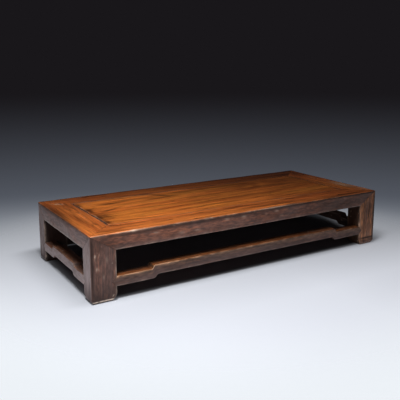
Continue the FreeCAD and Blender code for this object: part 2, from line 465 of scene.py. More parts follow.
@dataclass(frozen=True)
class Timber:
    """Where in its log a member was cut: the pith's place in the section, its lean and a shift along it."""

    pith: Pair
    lean: Pair = (0.0, 0.0)
    shift: float = 0.0

    def in_log(self, along: Array, p: Array, q: Array) -> Array:
        """Places in the log: along the pith, then two ways across it, less the pith's lean.

        Args:
            along: place along the member, in millimetres.
            p: first place in the section.
            q: second place in the section.

        Returns:
            Three numbers for each place.
        """
        return np.stack([
            along + self.shift,
            p - self.pith[0] - self.lean[0] * along,
            q - self.pith[1] - self.lean[1] * along,
        ], -1)

    def along_fibre(self, along: Array, p: Array, q: Array) -> Array:
        """Places by the fibres, which follow the member: along it, then two ways across it."""
        return np.stack([along + self.shift, p - self.pith[0], q - self.pith[1]], -1)


@dataclass(frozen=True, kw_only=True)
class Mark:
    """A soft-edged streak in or on the wood: dark where its strength is positive, light below zero. Light
    ones are scuffs, and a few are painted highlights; a few dark ones are painted shade and reflection.

    Its middle line passes through a place on the surface and drifts across the section with its slope.
    """

    along: float
    p: float = 0.0
    q: float = 0.0
    length: float
    width: float
    strength: float
    slope: float = 0.0

    def depth(self, along: Array, p: Array, q: Array) -> Array:
        """The mark's strength: a bell curve along it times a narrower one across it.

        Args:
            along: place along the member, in millimetres.
            p: first place in the section.
            q: second place in the section.

        Returns:
            The strength at each place.
        """
        run = along - self.along
        across = np.hypot(p - self.p - self.slope * run, q - self.q)
        return self.strength * np.exp(-(run / self.length) ** 2 - (across / self.width) ** 2)


@dataclass(frozen=True)
class Cast:
    """How one member's wood differs: its tone, how the tone changes along it (partly painted light falling
    off), its film, its gold and its streaks.
    """

    tone: float = 1.0
    tone_and_light_drift: float = 0.0
    film: float = 1.0
    gold: float = 0.0
    marks: tuple[Mark, ...] = ()


@dataclass(frozen=True)
class Wear:
    """How a member has been used, in millimetres.

    Each corner of the section has a weight for how bare it is rubbed, which on the lit arrises is partly a
    painted highlight, and one for the soil it holds. The rubbing wavers along the member, and a share of it
    fades from start to end, so that the painted highlight falls off along the member too. The ends are
    rounded and their joints hold soil. The plane left slight waves, which run skew across the section.
    Knocks are dents in the corners, the deepest of full depth. Scars are small light marks on the faces,
    which turn from the grain by a slope. A pair holds the least and the greatest of a measure.
    """

    rubbed: Sequence[float]
    seamed: Sequence[float]
    rub_reach: float = 2.2
    rub_and_highlight_fade: float = 0.0
    rub_waver: Wander = Wander(wavelength=46.0, swing=0.38, level=0.62, seed=RUB_SEED)
    seam_reach: float = 0.9
    arris_loss: float = 0.35
    end_ease: float = 0.28
    end_dirt: float = 0.45
    planing: Wander = Wander(wavelength=95.0, swing=0.12, seed=PLANING_SEED)
    planing_skew: Pair = (3.1, 2.3)
    knocks: int = 14
    knock_depth: float = 0.5
    knock_shares: Pair = (0.2, 1.0)
    knock_lengths: Pair = (0.8, 3.5)
    knock_reach: float = 1.8
    scars: int = 12
    scar_depth: float = 0.06
    scar_lengths: Pair = (0.8, 2.6)
    scar_widths: Pair = (0.5, 1.1)
    scar_strengths: Pair = (0.1, 0.45)
    scar_slope: float = 0.25


@dataclass(frozen=True)
class CloseUp:
    """A stretch of a member that is divided more finely, and the gap between its stations."""

    first: float
    last: float
    gap: float

    def moved(self, by: float) -> "CloseUp":
        """The same stretch further along the member."""
        return CloseUp(self.first + by, self.last + by, self.gap)

    def mirrored(self) -> "CloseUp":
        """The same stretch at the member's other half."""
        return CloseUp(-self.last, -self.first, self.gap)


@dataclass(frozen=True)
class Grid:
    """A member's surface before wear: the outline's points at each station, in millimetres.

    Attributes:
        along: place along the member.
        p: first place in the section.
        q: second place in the section.
        to_end: distance to the nearer end.
        on_tube: whether a point lies on the member's sides and not on an end.
        middle: (2,) the section's middle, to which the ends are drawn in.
    """

    along: Array
    p: Array
    q: Array
    to_end: Array
    on_tube: Array
    middle: Array

    @property
    def place(self) -> tuple[Array, Array, Array]:
        """Every point's place, as the member's fields read it."""
        return self.along, self.p, self.q

    @property
    def half(self) -> float:
        """The furthest that the member reaches from its origin."""
        return np.abs(self.along).max()


@dataclass
class Member:
    """One length of timber: an eased outline carried along an axis and closed at both ends.

    A point of the surface is the outline's point at its station s, which runs from the start field at
    0 to the end field at 1; at each end the outline is drawn in to its middle to close the surface.

    The place field turns along and the place in the section into x, y and z. The top share is how much of
    the top's colours the upper side takes: how polished it is, and on the stretchers, under the rails,
    partly painted shade. The five fields at the end add to the wood lost, the bare wood and painted
    highlight, the soil and painted shade, the film and painted reflection, and the gold.
    """

    name: str
    outline: Outline
    start: EndField
    end: EndField
    place: PlaceField
    timber: Timber
    wear: Wear
    seed: int
    cast: Cast = Cast()
    spacing: float = 1.7
    close_up: Sequence[CloseUp] = ()
    top_share: float = 1.0
    carve: PlaceField = nothing
    rub_and_highlight_more: PlaceField = nothing
    dirt_and_shade_more: PlaceField = nothing
    film_and_reflection_more: PlaceField = nothing
    gold_more: PlaceField = nothing

    def stations(self) -> Array:
        """Sets out even steps, with closer ones at the ends and in the close-up stretches.

        Returns:
            Stations from 0 to 1.
        """
        p, q = self.outline.points.T
        low = float(self.start(p, q).max())
        high = float(self.end(p, q).min())
        length = high - low
        ends = np.array(END_STEPS)
        inner = np.linspace(ends[-1], length - ends[-1], int(length / self.spacing))
        steps = [ends, inner[1:-1], length - ends]
        for part in self.close_up:
            steps.append(np.arange(part.first - low, part.last - low, part.gap))
        merged = np.unique(np.concatenate(steps).round(STATION_DIGITS))
        keep = np.concatenate([[True], np.diff(merged) > LEAST_STEP])
        keep[-1] = True
        return merged[keep] / length

    def lay_out(self) -> Grid:
        """Sets the outline out at every station and draws it in to its middle at the ends.

        Returns:
            The surface before wear.
        """
        tube = self.stations()
        rings = np.array(CAP_RINGS)
        scale = np.concatenate([rings, np.ones_like(tube), rings[::-1]])[:, None]
        station = np.concatenate([np.zeros_like(rings), tube, np.ones_like(rings)])[:, None]
        middle = self.outline.points.mean(0)
        p = middle[0] + scale * (self.outline.points[:, 0] - middle[0])
        q = middle[1] + scale * (self.outline.points[:, 1] - middle[1])
        first, last = self.start(p, q), self.end(p, q)
        along = first * (1 - station) + last * station
        to_end = np.minimum(along - first, last - along)
        return Grid(along, p, q, to_end, np.broadcast_to(scale == 1, p.shape), middle)

    def along_corners(self, weights: Sequence[float], grid: Grid, reach: float) -> Array:
        """The strongest of the corners' weights at each point, fading with distance as a bell curve.

        Args:
            weights: a weight for each corner of the section.
            grid: the surface.
            reach: how far a weight reaches from its corner.

        Returns:
            The weight at each point.
        """
        spots = self.outline.corners
        gap = np.hypot(grid.p[..., None] - spots[:, 0], grid.q[..., None] - spots[:, 1])
        return (np.array(weights) * np.exp(-(gap / reach) ** 2)).max(-1)

    def rubbed(self, grid: Grid) -> Array:
        """How bare the corners are rubbed, on the lit arrises partly as a painted highlight: unevenly, and
        less towards the member's end.

        Args:
            grid: the surface.

        Returns:
            How bare each point is.
        """
        bare = self.along_corners(self.wear.rubbed, grid, self.wear.rub_reach)
        bare = bare * self.wear.rub_waver.at(grid.along, self.seed)
        return bare * (1 - self.wear.rub_and_highlight_fade * rise_across(grid.along, grid.half))

    def knocked(self, grid: Grid) -> Array:
        """Knocks on the rubbed corners: dents at seeded places along the member.

        A dent is a bell curve along the member times one across it, and the deepest holds where dents meet.

        Args:
            grid: the surface.

        Returns:
            Their depth at each point.
        """
        wear = self.wear
        draws = np.random.default_rng(self.seed)
        centres = draws.uniform(grid.along.min(), grid.along.max(), wear.knocks)
        lengths = draws.uniform(*wear.knock_lengths, wear.knocks)
        depths = draws.uniform(*wear.knock_shares, wear.knocks) * wear.knock_depth
        choice = draws.integers(0, len(self.outline.corners), wear.knocks)
        spots = self.outline.corners[choice]
        heights = np.array(wear.rubbed)[choice] * depths
        depth = np.zeros_like(grid.along)
        for centre, length, spot, height in zip(centres, lengths, spots, heights):
            gap = np.hypot(grid.p - spot[0], grid.q - spot[1])
            dent = height * np.exp(-((grid.along - centre) / length) ** 2 - (gap / wear.knock_reach) ** 2)
            depth = np.maximum(depth, dent)
        return depth

    def scarred(self) -> list[Mark]:
        """Draws small light scars at seeded places on the member's faces.

        Returns:
            The scars.
        """
        wear = self.wear
        draws = np.random.default_rng(self.seed + SCAR_SEED)
        p, q = self.outline.points.T
        choice = draws.integers(0, len(p), wear.scars)
        places = draws.uniform(self.start(p, q).max(), self.end(p, q).min(), wear.scars)
        lengths = draws.uniform(*wear.scar_lengths, wear.scars)
        widths = draws.uniform(*wear.scar_widths, wear.scars)
        strengths = -draws.uniform(*wear.scar_strengths, wear.scars)
        slopes = draws.normal(0.0, wear.scar_slope, wear.scars)
        columns = (places, p[choice], q[choice], lengths, widths, strengths, slopes)
        names = ("along", "p", "q", "length", "width", "strength", "slope")
        return [Mark(**dict(zip(names, row))) for row in zip(*columns)]

    def streaked(self, grid: Grid) -> Array:
        """Adds up the marks of the member's cast and its scars.

        Args:
            grid: the surface.

        Returns:
            Their strength at each point.
        """
        total = np.zeros_like(grid.along)
        for mark in (*self.cast.marks, *self.scarred()):
            total = total + mark.depth(*grid.place)
        return total

    def lost(self, grid: Grid, rub: Array, knocks: Array, streaks: Array) -> Array:
        """Adds up the wood lost: planing, rubbed corners, knocks, scars, rounded ends and carving.

        An end is rounded as a quarter circle.

        Args:
            grid: the surface.
            rub: how bare each point is rubbed.
            knocks: depth of the knocks.
            streaks: strength of the marks.

        Returns:
            The depth at each point, which is nought on the two ends.
        """
        wear = self.wear
        skewed = grid.along + wear.planing_skew[0] * grid.p + wear.planing_skew[1] * grid.q
        flats = wear.planing.at(skewed, self.seed)
        short = np.clip(wear.end_ease - grid.to_end, 0.0, wear.end_ease)
        rounding = wear.end_ease - np.sqrt(wear.end_ease ** 2 - short ** 2)
        scars = wear.scar_depth * np.clip(-streaks, 0, 1)
        depth = flats + wear.arris_loss * np.clip(rub, 0, 1) + knocks + scars + rounding
        return np.where(grid.on_tube, depth + self.carve(*grid.place), 0.0)

    def fields(self, grid: Grid, rub: Array, knocks: Array, streaks: Array) -> dict[str, Array]:
        """Works out what the finish reads at each point, with a value for the pole at each end.

        Args:
            grid: the surface.
            rub: how bare each point is rubbed.
            knocks: depth of the knocks.
            streaks: strength of the marks.

        Returns:
            Numbers for the first pole, every point and the last pole, by name.
        """
        wear, cast = self.wear, self.cast
        dirt_and_shade = np.exp(-(grid.to_end / wear.seam_reach) ** 2) * wear.end_dirt
        dirt_and_shade = np.maximum(dirt_and_shade, self.along_corners(wear.seamed, grid, wear.seam_reach))
        # more dark from the member: soil, and painted shade on inner faces, under the rails, below the
        # front arris and at the floor
        dirt_and_shade = np.maximum(dirt_and_shade, self.dirt_and_shade_more(*grid.place))
        bare = np.clip(rub + knocks / wear.knock_depth, 0, 1)
        bare = np.maximum(bare, self.rub_and_highlight_more(*grid.place))
        # the change of tone along the member partly paints light falling off
        tone = cast.tone + cast.tone_and_light_drift * grid.along / grid.half
        film = cast.film + self.film_and_reflection_more(*grid.place)
        gold = cast.gold + self.gold_more(*grid.place)
        return {
            "wear": np.pad((bare * grid.on_tube).ravel(), 1),
            "mark": np.pad((streaks * grid.on_tube).ravel(), 1),
            "tone": np.pad(tone.ravel(), 1, constant_values=cast.tone),
            "film": np.pad(film.ravel(), 1, mode="edge"),
            "gold": np.pad(gold.ravel(), 1, mode="edge"),
            "dirt_and_shade": np.pad(np.where(grid.on_tube, dirt_and_shade, 1.0).ravel(), 1, constant_values=1.0),
        }

    def build(self, material: Material, slot: Slot, node: str) -> Piece:
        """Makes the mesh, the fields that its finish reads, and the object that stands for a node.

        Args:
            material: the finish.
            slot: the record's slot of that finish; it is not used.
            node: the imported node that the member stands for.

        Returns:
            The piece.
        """
        grid = self.lay_out()
        rub, knocks, streaks = self.rubbed(grid), self.knocked(grid), self.streaked(grid)
        depth = self.lost(grid, rub, knocks, streaks)
        worn_p = grid.p - depth * self.outline.normals[:, 0]
        worn_q = grid.q - depth * self.outline.normals[:, 1]
        surface = self.place(grid.along, worn_p, worn_q)
        pole_p, pole_q = grid.middle[:1], grid.middle[1:]
        first, last = (self.place(tip(pole_p, pole_q), pole_p, pole_q) for tip in (self.start, self.end))
        spots = np.concatenate([first, surface.reshape(-1, 3), last]) * MM
        vectors = {"grain": self.timber.in_log(*grid.place), "fibre": self.timber.along_fibre(*grid.place)}
        for key, places in vectors.items():
            vectors[key] = np.pad(places.reshape(-1, 3), ((1, 1), (0, 0)), mode="edge")
        fields = self.fields(grid, rub, knocks, streaks)
        piece = mesh_object(self.name, spots, grid.along.shape, fields, vectors, self.top_share)
        piece.data.materials.append(material)
        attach(piece, BODY)
        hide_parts(node)
        return piece


def mesh_object(name: str, spots: Array, shape: tuple[int, ...], fields: dict[str, Array],
                vectors: dict[str, Array], top_share: float) -> Piece:
    """Makes a closed mesh of rings between two poles, faces outward, with its finish's fields.

    Ring i's points join ring i + 1's in four-sided faces, and the poles close the first and last ring with
    triangles. If the volume summed over the faces comes out negative, every face is turned round.

    Args:
        name: the object's name.
        spots: places in metres: the first pole, the rings in order, the last pole.
        shape: number of rings and points in a ring.
        fields: a number for each place, by name.
        vectors: three numbers for each place, by name.
        top_share: how much of the top's colours its upper side takes: how polished it is, and partly
            painted shade.

    Returns:
        The object, at the origin.
    """
    rings = 1 + np.arange(shape[0] * shape[1]).reshape(shape)
    ahead = np.roll(rings, -1, axis=1)
    quads = np.stack([rings[:-1], ahead[:-1], ahead[1:], rings[1:]], -1).reshape(-1, 4)
    bottom = np.stack([np.zeros_like(rings[0]), ahead[0], rings[0]], -1)
    top = np.stack([np.full_like(rings[0], len(spots) - 1), rings[-1], ahead[-1]], -1)
    triangles = np.concatenate([bottom, top])
    halves = np.concatenate([quads[:, [0, 1, 2]], quads[:, [0, 2, 3]], triangles])
    a, b, c = spots[halves[:, 0]], spots[halves[:, 1]], spots[halves[:, 2]]
    if (a * np.cross(b, c)).sum() < 0:
        quads, triangles = quads[:, ::-1], triangles[:, ::-1]
    mesh = bpy.data.meshes.new(name)
    mesh.from_pydata(spots.tolist(), [], quads.tolist() + triangles.tolist())
    mesh.shade_smooth()
    mesh.set_sharp_from_angle(angle=SHARP_ANGLE)
    normals = np.empty(len(spots) * 3)
    mesh.vertex_normals.foreach_get("vector", normals)
    fields = dict(fields, topside=top_share * smooth_step((normals[2::3] - TOP_FROM) / TOP_RUN))
    for field_name, values in fields.items():
        layer = mesh.attributes.new(field_name, "FLOAT", "POINT")
        layer.data.foreach_set("value", np.ascontiguousarray(values, dtype=np.float32))
    for vector_name, rows in vectors.items():
        layer = mesh.attributes.new(vector_name, "FLOAT_VECTOR", "POINT")
        layer.data.foreach_set("vector", np.ascontiguousarray(rows, dtype=np.float32).ravel())
    return set_down(name, mesh)


@dataclass(frozen=True)
class Strands:
    """Noise drawn out along the grain: its size along and across in millimetres, and its finer layers."""

    long_mm: float
    wide_mm: float
    detail: float

    def noise(self, tree: Tree, place: Socket) -> Socket:
        """Draws the pattern.

        Args:
            tree: the material's node tree.
            place: the place in the wood, in millimetres.

        Returns:
            The noise, about 0.3 to 0.7.
        """
        scale = (1 / self.long_mm, 1 / self.wide_mm, 1 / self.wide_mm)
        spot = add(tree, "ShaderNodeMapping", {"Vector": place, "Scale": scale})[0]
        inputs = {"Vector": spot, "Scale": 1.0, "Detail": self.detail}
        return add(tree, "ShaderNodeTexNoise", inputs)[0]


@dataclass(frozen=True)
class RingNoise:
    """Noise of one dimension read across the growth rings: its scale, its finer layers and its share."""

    scale: float
    detail: float
    share: float


@dataclass(frozen=True)
class OiledRosewood:
    """Old rosewood, planed by hand, oiled and rubbed.

    Growth rings show as darker streaks that follow the grain, open pores as short dark dashes. The top is
    orange and polished by use. The upright faces are darker and duller under a grey-brown film; their
    darker colours are partly painted shade, and the film is partly a painted reflection of the pale floor.
    Worn arrises are lighter, partly as a painted highlight, joints hold dark soil, and soil also paints
    shade on inner faces and under the rails. Fibres and pores are drawn a few times coarser than life,
    because they are too fine to show.
    """

    name: str
    top_light: str = "#EA863A"
    top_gold: str = "#E08A38"
    top_dark: str = "#7E3814"
    # Upright faces: darker than the top's colours, partly as painted shade
    side_light: str = "#703F26"
    side_gold: str = "#794D25"
    side_dark: str = "#341A0E"
    # Grey-brown film on upright faces, partly a painted reflection of the pale floor
    film: str = "#7C635D"
    # Pale bare wood, plain and golden; on the lit arrises partly a painted highlight
    worn: str = "#E4CCB6"
    worn_gold: str = "#E8B690"
    # Dark of soil, and of painted shade
    dirt_and_shade: str = "#170B07"
    # Dark of heartwood streaks, and of the marks that paint shade and reflection
    dark_heart: str = "#3E1E0C"
    ring_mm: float = 4.0
    ring_layers: tuple[RingNoise, ...] = (
        RingNoise(scale=1.0, detail=2.0, share=0.45),
        RingNoise(scale=0.16, detail=1.0, share=0.8),
    )
    sway_mm: float = 26.0
    sway: Strands = Strands(long_mm=190.0, wide_mm=52.0, detail=2.0)
    streak: Strands = Strands(long_mm=150.0, wide_mm=8.0, detail=3.0)
    figure: Span = Span(0.8, 1.34)
    vein: Strands = Strands(long_mm=120.0, wide_mm=11.0, detail=1.5)
    vein_middle: float = 0.5
    vein_half: float = 0.018
    vein_break: Pair = (0.42, 0.6)
    vein_strength: float = 0.75
    strand: Strands = Strands(long_mm=60.0, wide_mm=1.7, detail=3.0)
    strand_shade: Span = Span(0.3, 0.7, first=0.52, last=1.48)
    pore: Strands = Strands(long_mm=20.0, wide_mm=1.7, detail=1.0)
    pore_depth: Span = Span(0.55, 0.7, last=0.7)
    pore_fill: Span = Span(0.0, 1.0, first=1.0, last=0.5)
    golden: Strands = Strands(long_mm=130.0, wide_mm=24.0, detail=1.0)
    golden_share: Span = Span(0.4, 0.62)
    blotch: Strands = Strands(long_mm=9.0, wide_mm=3.0, detail=4.0)
    blotch_shade: Span = Span(0.34, 0.66, first=0.5, last=1.55)
    haze: Strands = Strands(long_mm=60.0, wide_mm=14.0, detail=3.0)
    haze_share: Span = Span(0.36, 0.66, first=0.1, last=0.6)
    heart_share: Span = Span(0.0, 1.0, last=0.9)
    soil_share: float = 0.95
    bare_share: Span = Span(0.32, 0.6, first=0.35)
    rough: Span = Span(0.0, 1.0, first=0.42, last=0.35)
    strand_rough: Span = Span(0.3, 0.7, first=0.1, last=-0.05)
    worn_rough: float = 0.22
    dirt_rough: float = 0.8
    wax: Span = Span(0.0, 1.0, first=0.6, last=0.0)
    wax_break: Span = Span(0.36, 0.62, first=0.45, last=1.15)
    wax_rough: float = 0.28
    bump: float = 0.3
    bump_mm: float = 0.4
    ior: float = 1.5
    gloss: float = 0.5

    def parts(self, tree: Tree) -> dict[str, Socket]:
        """Reads a member's fields and draws the patterns that several layers of the finish share.

        Args:
            tree: the material's node tree.

        Returns:
            The fields by name, how upright the surface is, the streaks, strands, blotches and pores, and
            the share of soil and painted shade that covers the wood.
        """
        parts = {}
        for name, output in FIELD_OUTPUTS.items():
            parts[name] = add(tree, "ShaderNodeAttribute", {}, attribute_name=name)[output]
        parts["upright"] = add(tree, MATH, {0: 1.0, 1: parts["topside"]}, operation="SUBTRACT")[0]
        parts["streaks"] = self.streak.noise(tree, parts["fibre"])
        parts["strands"] = self.strand.noise(tree, parts["fibre"])
        parts["blotches"] = self.blotch.noise(tree, parts["fibre"])
        dashes = add(tree, RANGE, self.pore_depth.of(self.pore.noise(tree, parts["fibre"])))[0]
        filled = add(tree, RANGE, self.pore_fill.of(parts["topside"]))[0]
        parts["pores"] = add(tree, MATH, {0: dashes, 1: filled}, operation="MULTIPLY")[0]
        inputs = {0: parts["mark"], 1: parts["upright"]}
        stain = add(tree, MATH, inputs, operation="MULTIPLY", use_clamp=True)[0]
        soil = add(tree, MATH, {0: parts["dirt_and_shade"], 1: stain}, operation="MAXIMUM")[0]
        parts["soil"] = add(tree, MATH, {0: soil, 1: self.soil_share}, operation="MULTIPLY")[0]
        return parts

    def growth(self, tree: Tree, parts: dict[str, Socket]) -> Socket:
        """Growth rings: the pith's swayed distance, read through noise of one dimension, plus streaks.

        Args:
            tree: the material's node tree.
            parts: the fields and shared patterns.

        Returns:
            Nought where the wood is dark, one where it is light.
        """
        across = add(tree, "ShaderNodeMapping", {"Vector": parts["grain"], "Scale": (0, 1, 1)})[0]
        radius = add(tree, VECTOR_MATH, {0: across}, operation="LENGTH")["Value"]
        sway = self.sway.noise(tree, parts["grain"])
        bent = add(tree, MATH, {0: sway, 1: self.sway_mm, 2: radius}, operation="MULTIPLY_ADD")[0]
        ring = add(tree, MATH, {0: bent, 1: self.ring_mm}, operation="DIVIDE")[0]
        figure = parts["streaks"]
        for layer in self.ring_layers:
            inputs = {"W": ring, "Scale": layer.scale, "Detail": layer.detail}
            bands = add(tree, "ShaderNodeTexNoise", inputs, noise_dimensions="1D")[0]
            inputs = {0: bands, 1: layer.share, 2: figure}
            figure = add(tree, MATH, inputs, operation="MULTIPLY_ADD")[0]
        return add(tree, RANGE, self.figure.of(figure))[0]

    def shade(self, tree: Tree, parts: dict[str, Socket]) -> Socket:
        """How light the wood is by its strands, its member's tone and the blotches on upright faces.

        Args:
            tree: the material's node tree.
            parts: the fields and shared patterns.

        Returns:
            A factor for the wood's colour.
        """
        strands = add(tree, RANGE, self.strand_shade.of(parts["strands"]))[0]
        shade = add(tree, MATH, {0: strands, 1: parts["tone"]}, operation="MULTIPLY")[0]
        blotch = add(tree, RANGE, self.blotch_shade.of(parts["blotches"]))[0]
        inputs = {SHARE: parts["upright"], UNDER_NUMBER: 1.0, OVER_NUMBER: blotch}
        blotch = add(tree, MIX, inputs)[0]
        return add(tree, MATH, {0: shade, 1: blotch}, operation="MULTIPLY")[0]

    def bare_wood(self, tree: Tree, parts: dict[str, Socket]) -> Socket:
        """The wood's colour with its figure: orange on top, darker and browner on upright faces, partly as
        painted shade.

        Args:
            tree: the material's node tree.
            parts: the fields and shared patterns.

        Returns:
            The colour.
        """
        figure = self.growth(tree, parts)
        golden = add(tree, RANGE, self.golden_share.of(self.golden.noise(tree, parts["fibre"])))[0]
        faces = []
        for share, light, gold, dark in (
                (parts["gold"], self.side_light, self.side_gold, self.side_dark),
                (golden, self.top_light, self.top_gold, self.top_dark)):
            pale = add(tree, MIX, {SHARE: share, UNDER: linear(light), OVER: linear(gold)}, **RGBA)
            inputs = {SHARE: figure, UNDER: linear(dark), OVER: pale[MIXED]}
            faces.append(add(tree, MIX, inputs, **RGBA)[MIXED])
        side, top = faces
        # upright faces take the darker colours, partly as painted shade
        wood = add(tree, MIX, {SHARE: parts["topside"], UNDER: side, OVER: top}, **RGBA)[MIXED]
        inputs = {SHARE: 1.0, UNDER: wood, OVER: self.shade(tree, parts)}
        return add(tree, MIX, inputs, blend_type="MULTIPLY", **RGBA)[MIXED]

    def layers(self, tree: Tree, parts: dict[str, Socket]) -> list[tuple[Socket, Any]]:
        """Lays out what covers the wood's own colour.

        First the dark lines: pores, and broken veins where a drawn-out noise crosses its middle value. Then
        a dull film on upright faces, thicker and thinner in patches and partly a painted reflection of the
        pale floor; dark heart streaks, which also draw the marks of painted shade and reflection; and soil
        in joints and on upright faces, which also carries painted shade. Last the bare wood of worn
        arrises, in broken patches and partly a painted highlight, and of light scuffs and painted
        highlights.

        Args:
            tree: the material's node tree.
            parts: the fields and shared patterns.

        Returns:
            The share and the colour of each layer, from the lowest up.
        """
        inputs = {0: self.vein.noise(tree, parts["fibre"]), 1: self.vein_middle, 2: self.vein_half}
        crossing = add(tree, MATH, inputs, operation="COMPARE")[0]
        breaks = Span(*self.vein_break, first=self.vein_strength, last=0.0)
        unbroken = add(tree, RANGE, breaks.of(parts["streaks"]))[0]
        vein = add(tree, MATH, {0: crossing, 1: unbroken}, operation="MULTIPLY")[0]
        lines = add(tree, MATH, {0: parts["pores"], 1: vein}, operation="MAXIMUM")[0]
        haze = add(tree, RANGE, self.haze_share.of(self.haze.noise(tree, parts["fibre"])))[0]
        film = add(tree, MATH, {0: haze, 1: parts["film"]}, operation="MULTIPLY", use_clamp=True)[0]
        film = add(tree, MATH, {0: film, 1: parts["upright"]}, operation="MULTIPLY")[0]
        heart = add(tree, RANGE, self.heart_share.of(parts["mark"]))[0]
        broken = add(tree, RANGE, self.bare_share.of(parts["blotches"]))[0]
        bare = add(tree, MATH, {0: parts["wear"], 1: broken}, operation="MULTIPLY")[0]
        # light marks: scuffs, and painted highlights
        scuff_and_highlight = add(tree, MATH, {0: parts["mark"], 1: -1.0}, operation="MULTIPLY")[0]
        bare = add(tree, MATH, {0: bare, 1: scuff_and_highlight}, operation="MAXIMUM", use_clamp=True)[0]
        inputs = {SHARE: parts["gold"], UNDER: linear(self.worn), OVER: linear(self.worn_gold)}
        fresh = add(tree, MIX, inputs, **RGBA)[MIXED]
        return [
            (lines, linear(self.dark_heart)),
            (film, linear(self.film)),
            (heart, linear(self.dark_heart)),
            (parts["soil"], linear(self.dirt_and_shade)),
            (bare, fresh),
        ]

    def sheen(self, tree: Tree, parts: dict[str, Socket]) -> dict[str, Socket]:
        """Works out the shine and the fine relief.

        The polished top and worn arrises are smoother, and soil is rougher. Wax is missing in soil and lies
        in patches on upright faces. The strands stand up and the pores lie deeper.

        Args:
            tree: the material's node tree.
            parts: the fields and shared patterns.

        Returns:
            The shader's roughness, coat weight and normal.
        """
        rough = add(tree, RANGE, self.rough.of(parts["topside"]))[0]
        grip = add(tree, RANGE, self.strand_rough.of(parts["strands"]))[0]
        rough = add(tree, MATH, {0: rough, 1: grip}, operation="ADD")[0]
        for share, level in ((parts["wear"], self.worn_rough), (parts["soil"], self.dirt_rough)):
            rough = add(tree, MIX, {SHARE: share, UNDER_NUMBER: rough, OVER_NUMBER: level})[0]
        patchy = add(tree, RANGE, self.wax_break.of(parts["blotches"]))[0]
        patchy = add(tree, MIX, {SHARE: parts["upright"], UNDER_NUMBER: 1.0, OVER_NUMBER: patchy})[0]
        wax = add(tree, RANGE, self.wax.of(parts["soil"]))[0]
        wax = add(tree, MATH, {0: wax, 1: patchy}, operation="MULTIPLY")[0]
        height = add(tree, MATH, {0: parts["strands"], 1: parts["pores"]}, operation="SUBTRACT")[0]
        inputs = {"Height": height, "Strength": self.bump, "Distance": self.bump_mm * MM}
        return {"Roughness": rough, "Coat Weight": wax, "Normal": add(tree, "ShaderNodeBump", inputs)[0]}

    def material(self) -> Material:
        """Builds the finish layer by layer from the fields that every member carries.

        Returns:
            The material.
        """
        made = bpy.data.materials.new(self.name)
        made.use_nodes = True
        tree = made.node_tree
        tree.nodes.clear()
        parts = self.parts(tree)
        wood = self.bare_wood(tree, parts)
        for share, colour in self.layers(tree, parts):
            wood = add(tree, MIX, {SHARE: share, UNDER: wood, OVER: colour}, **RGBA)[MIXED]
        shader = add(tree, PRINCIPLED, {
            "Base Color": wood,
            "IOR": self.ior,
            "Specular IOR Level": self.gloss,
            "Coat Roughness": self.wax_rough,
            **self.sheen(tree, parts),
        })
        add(tree, "ShaderNodeOutputMaterial", {"Surface": shader[0]})
        return made


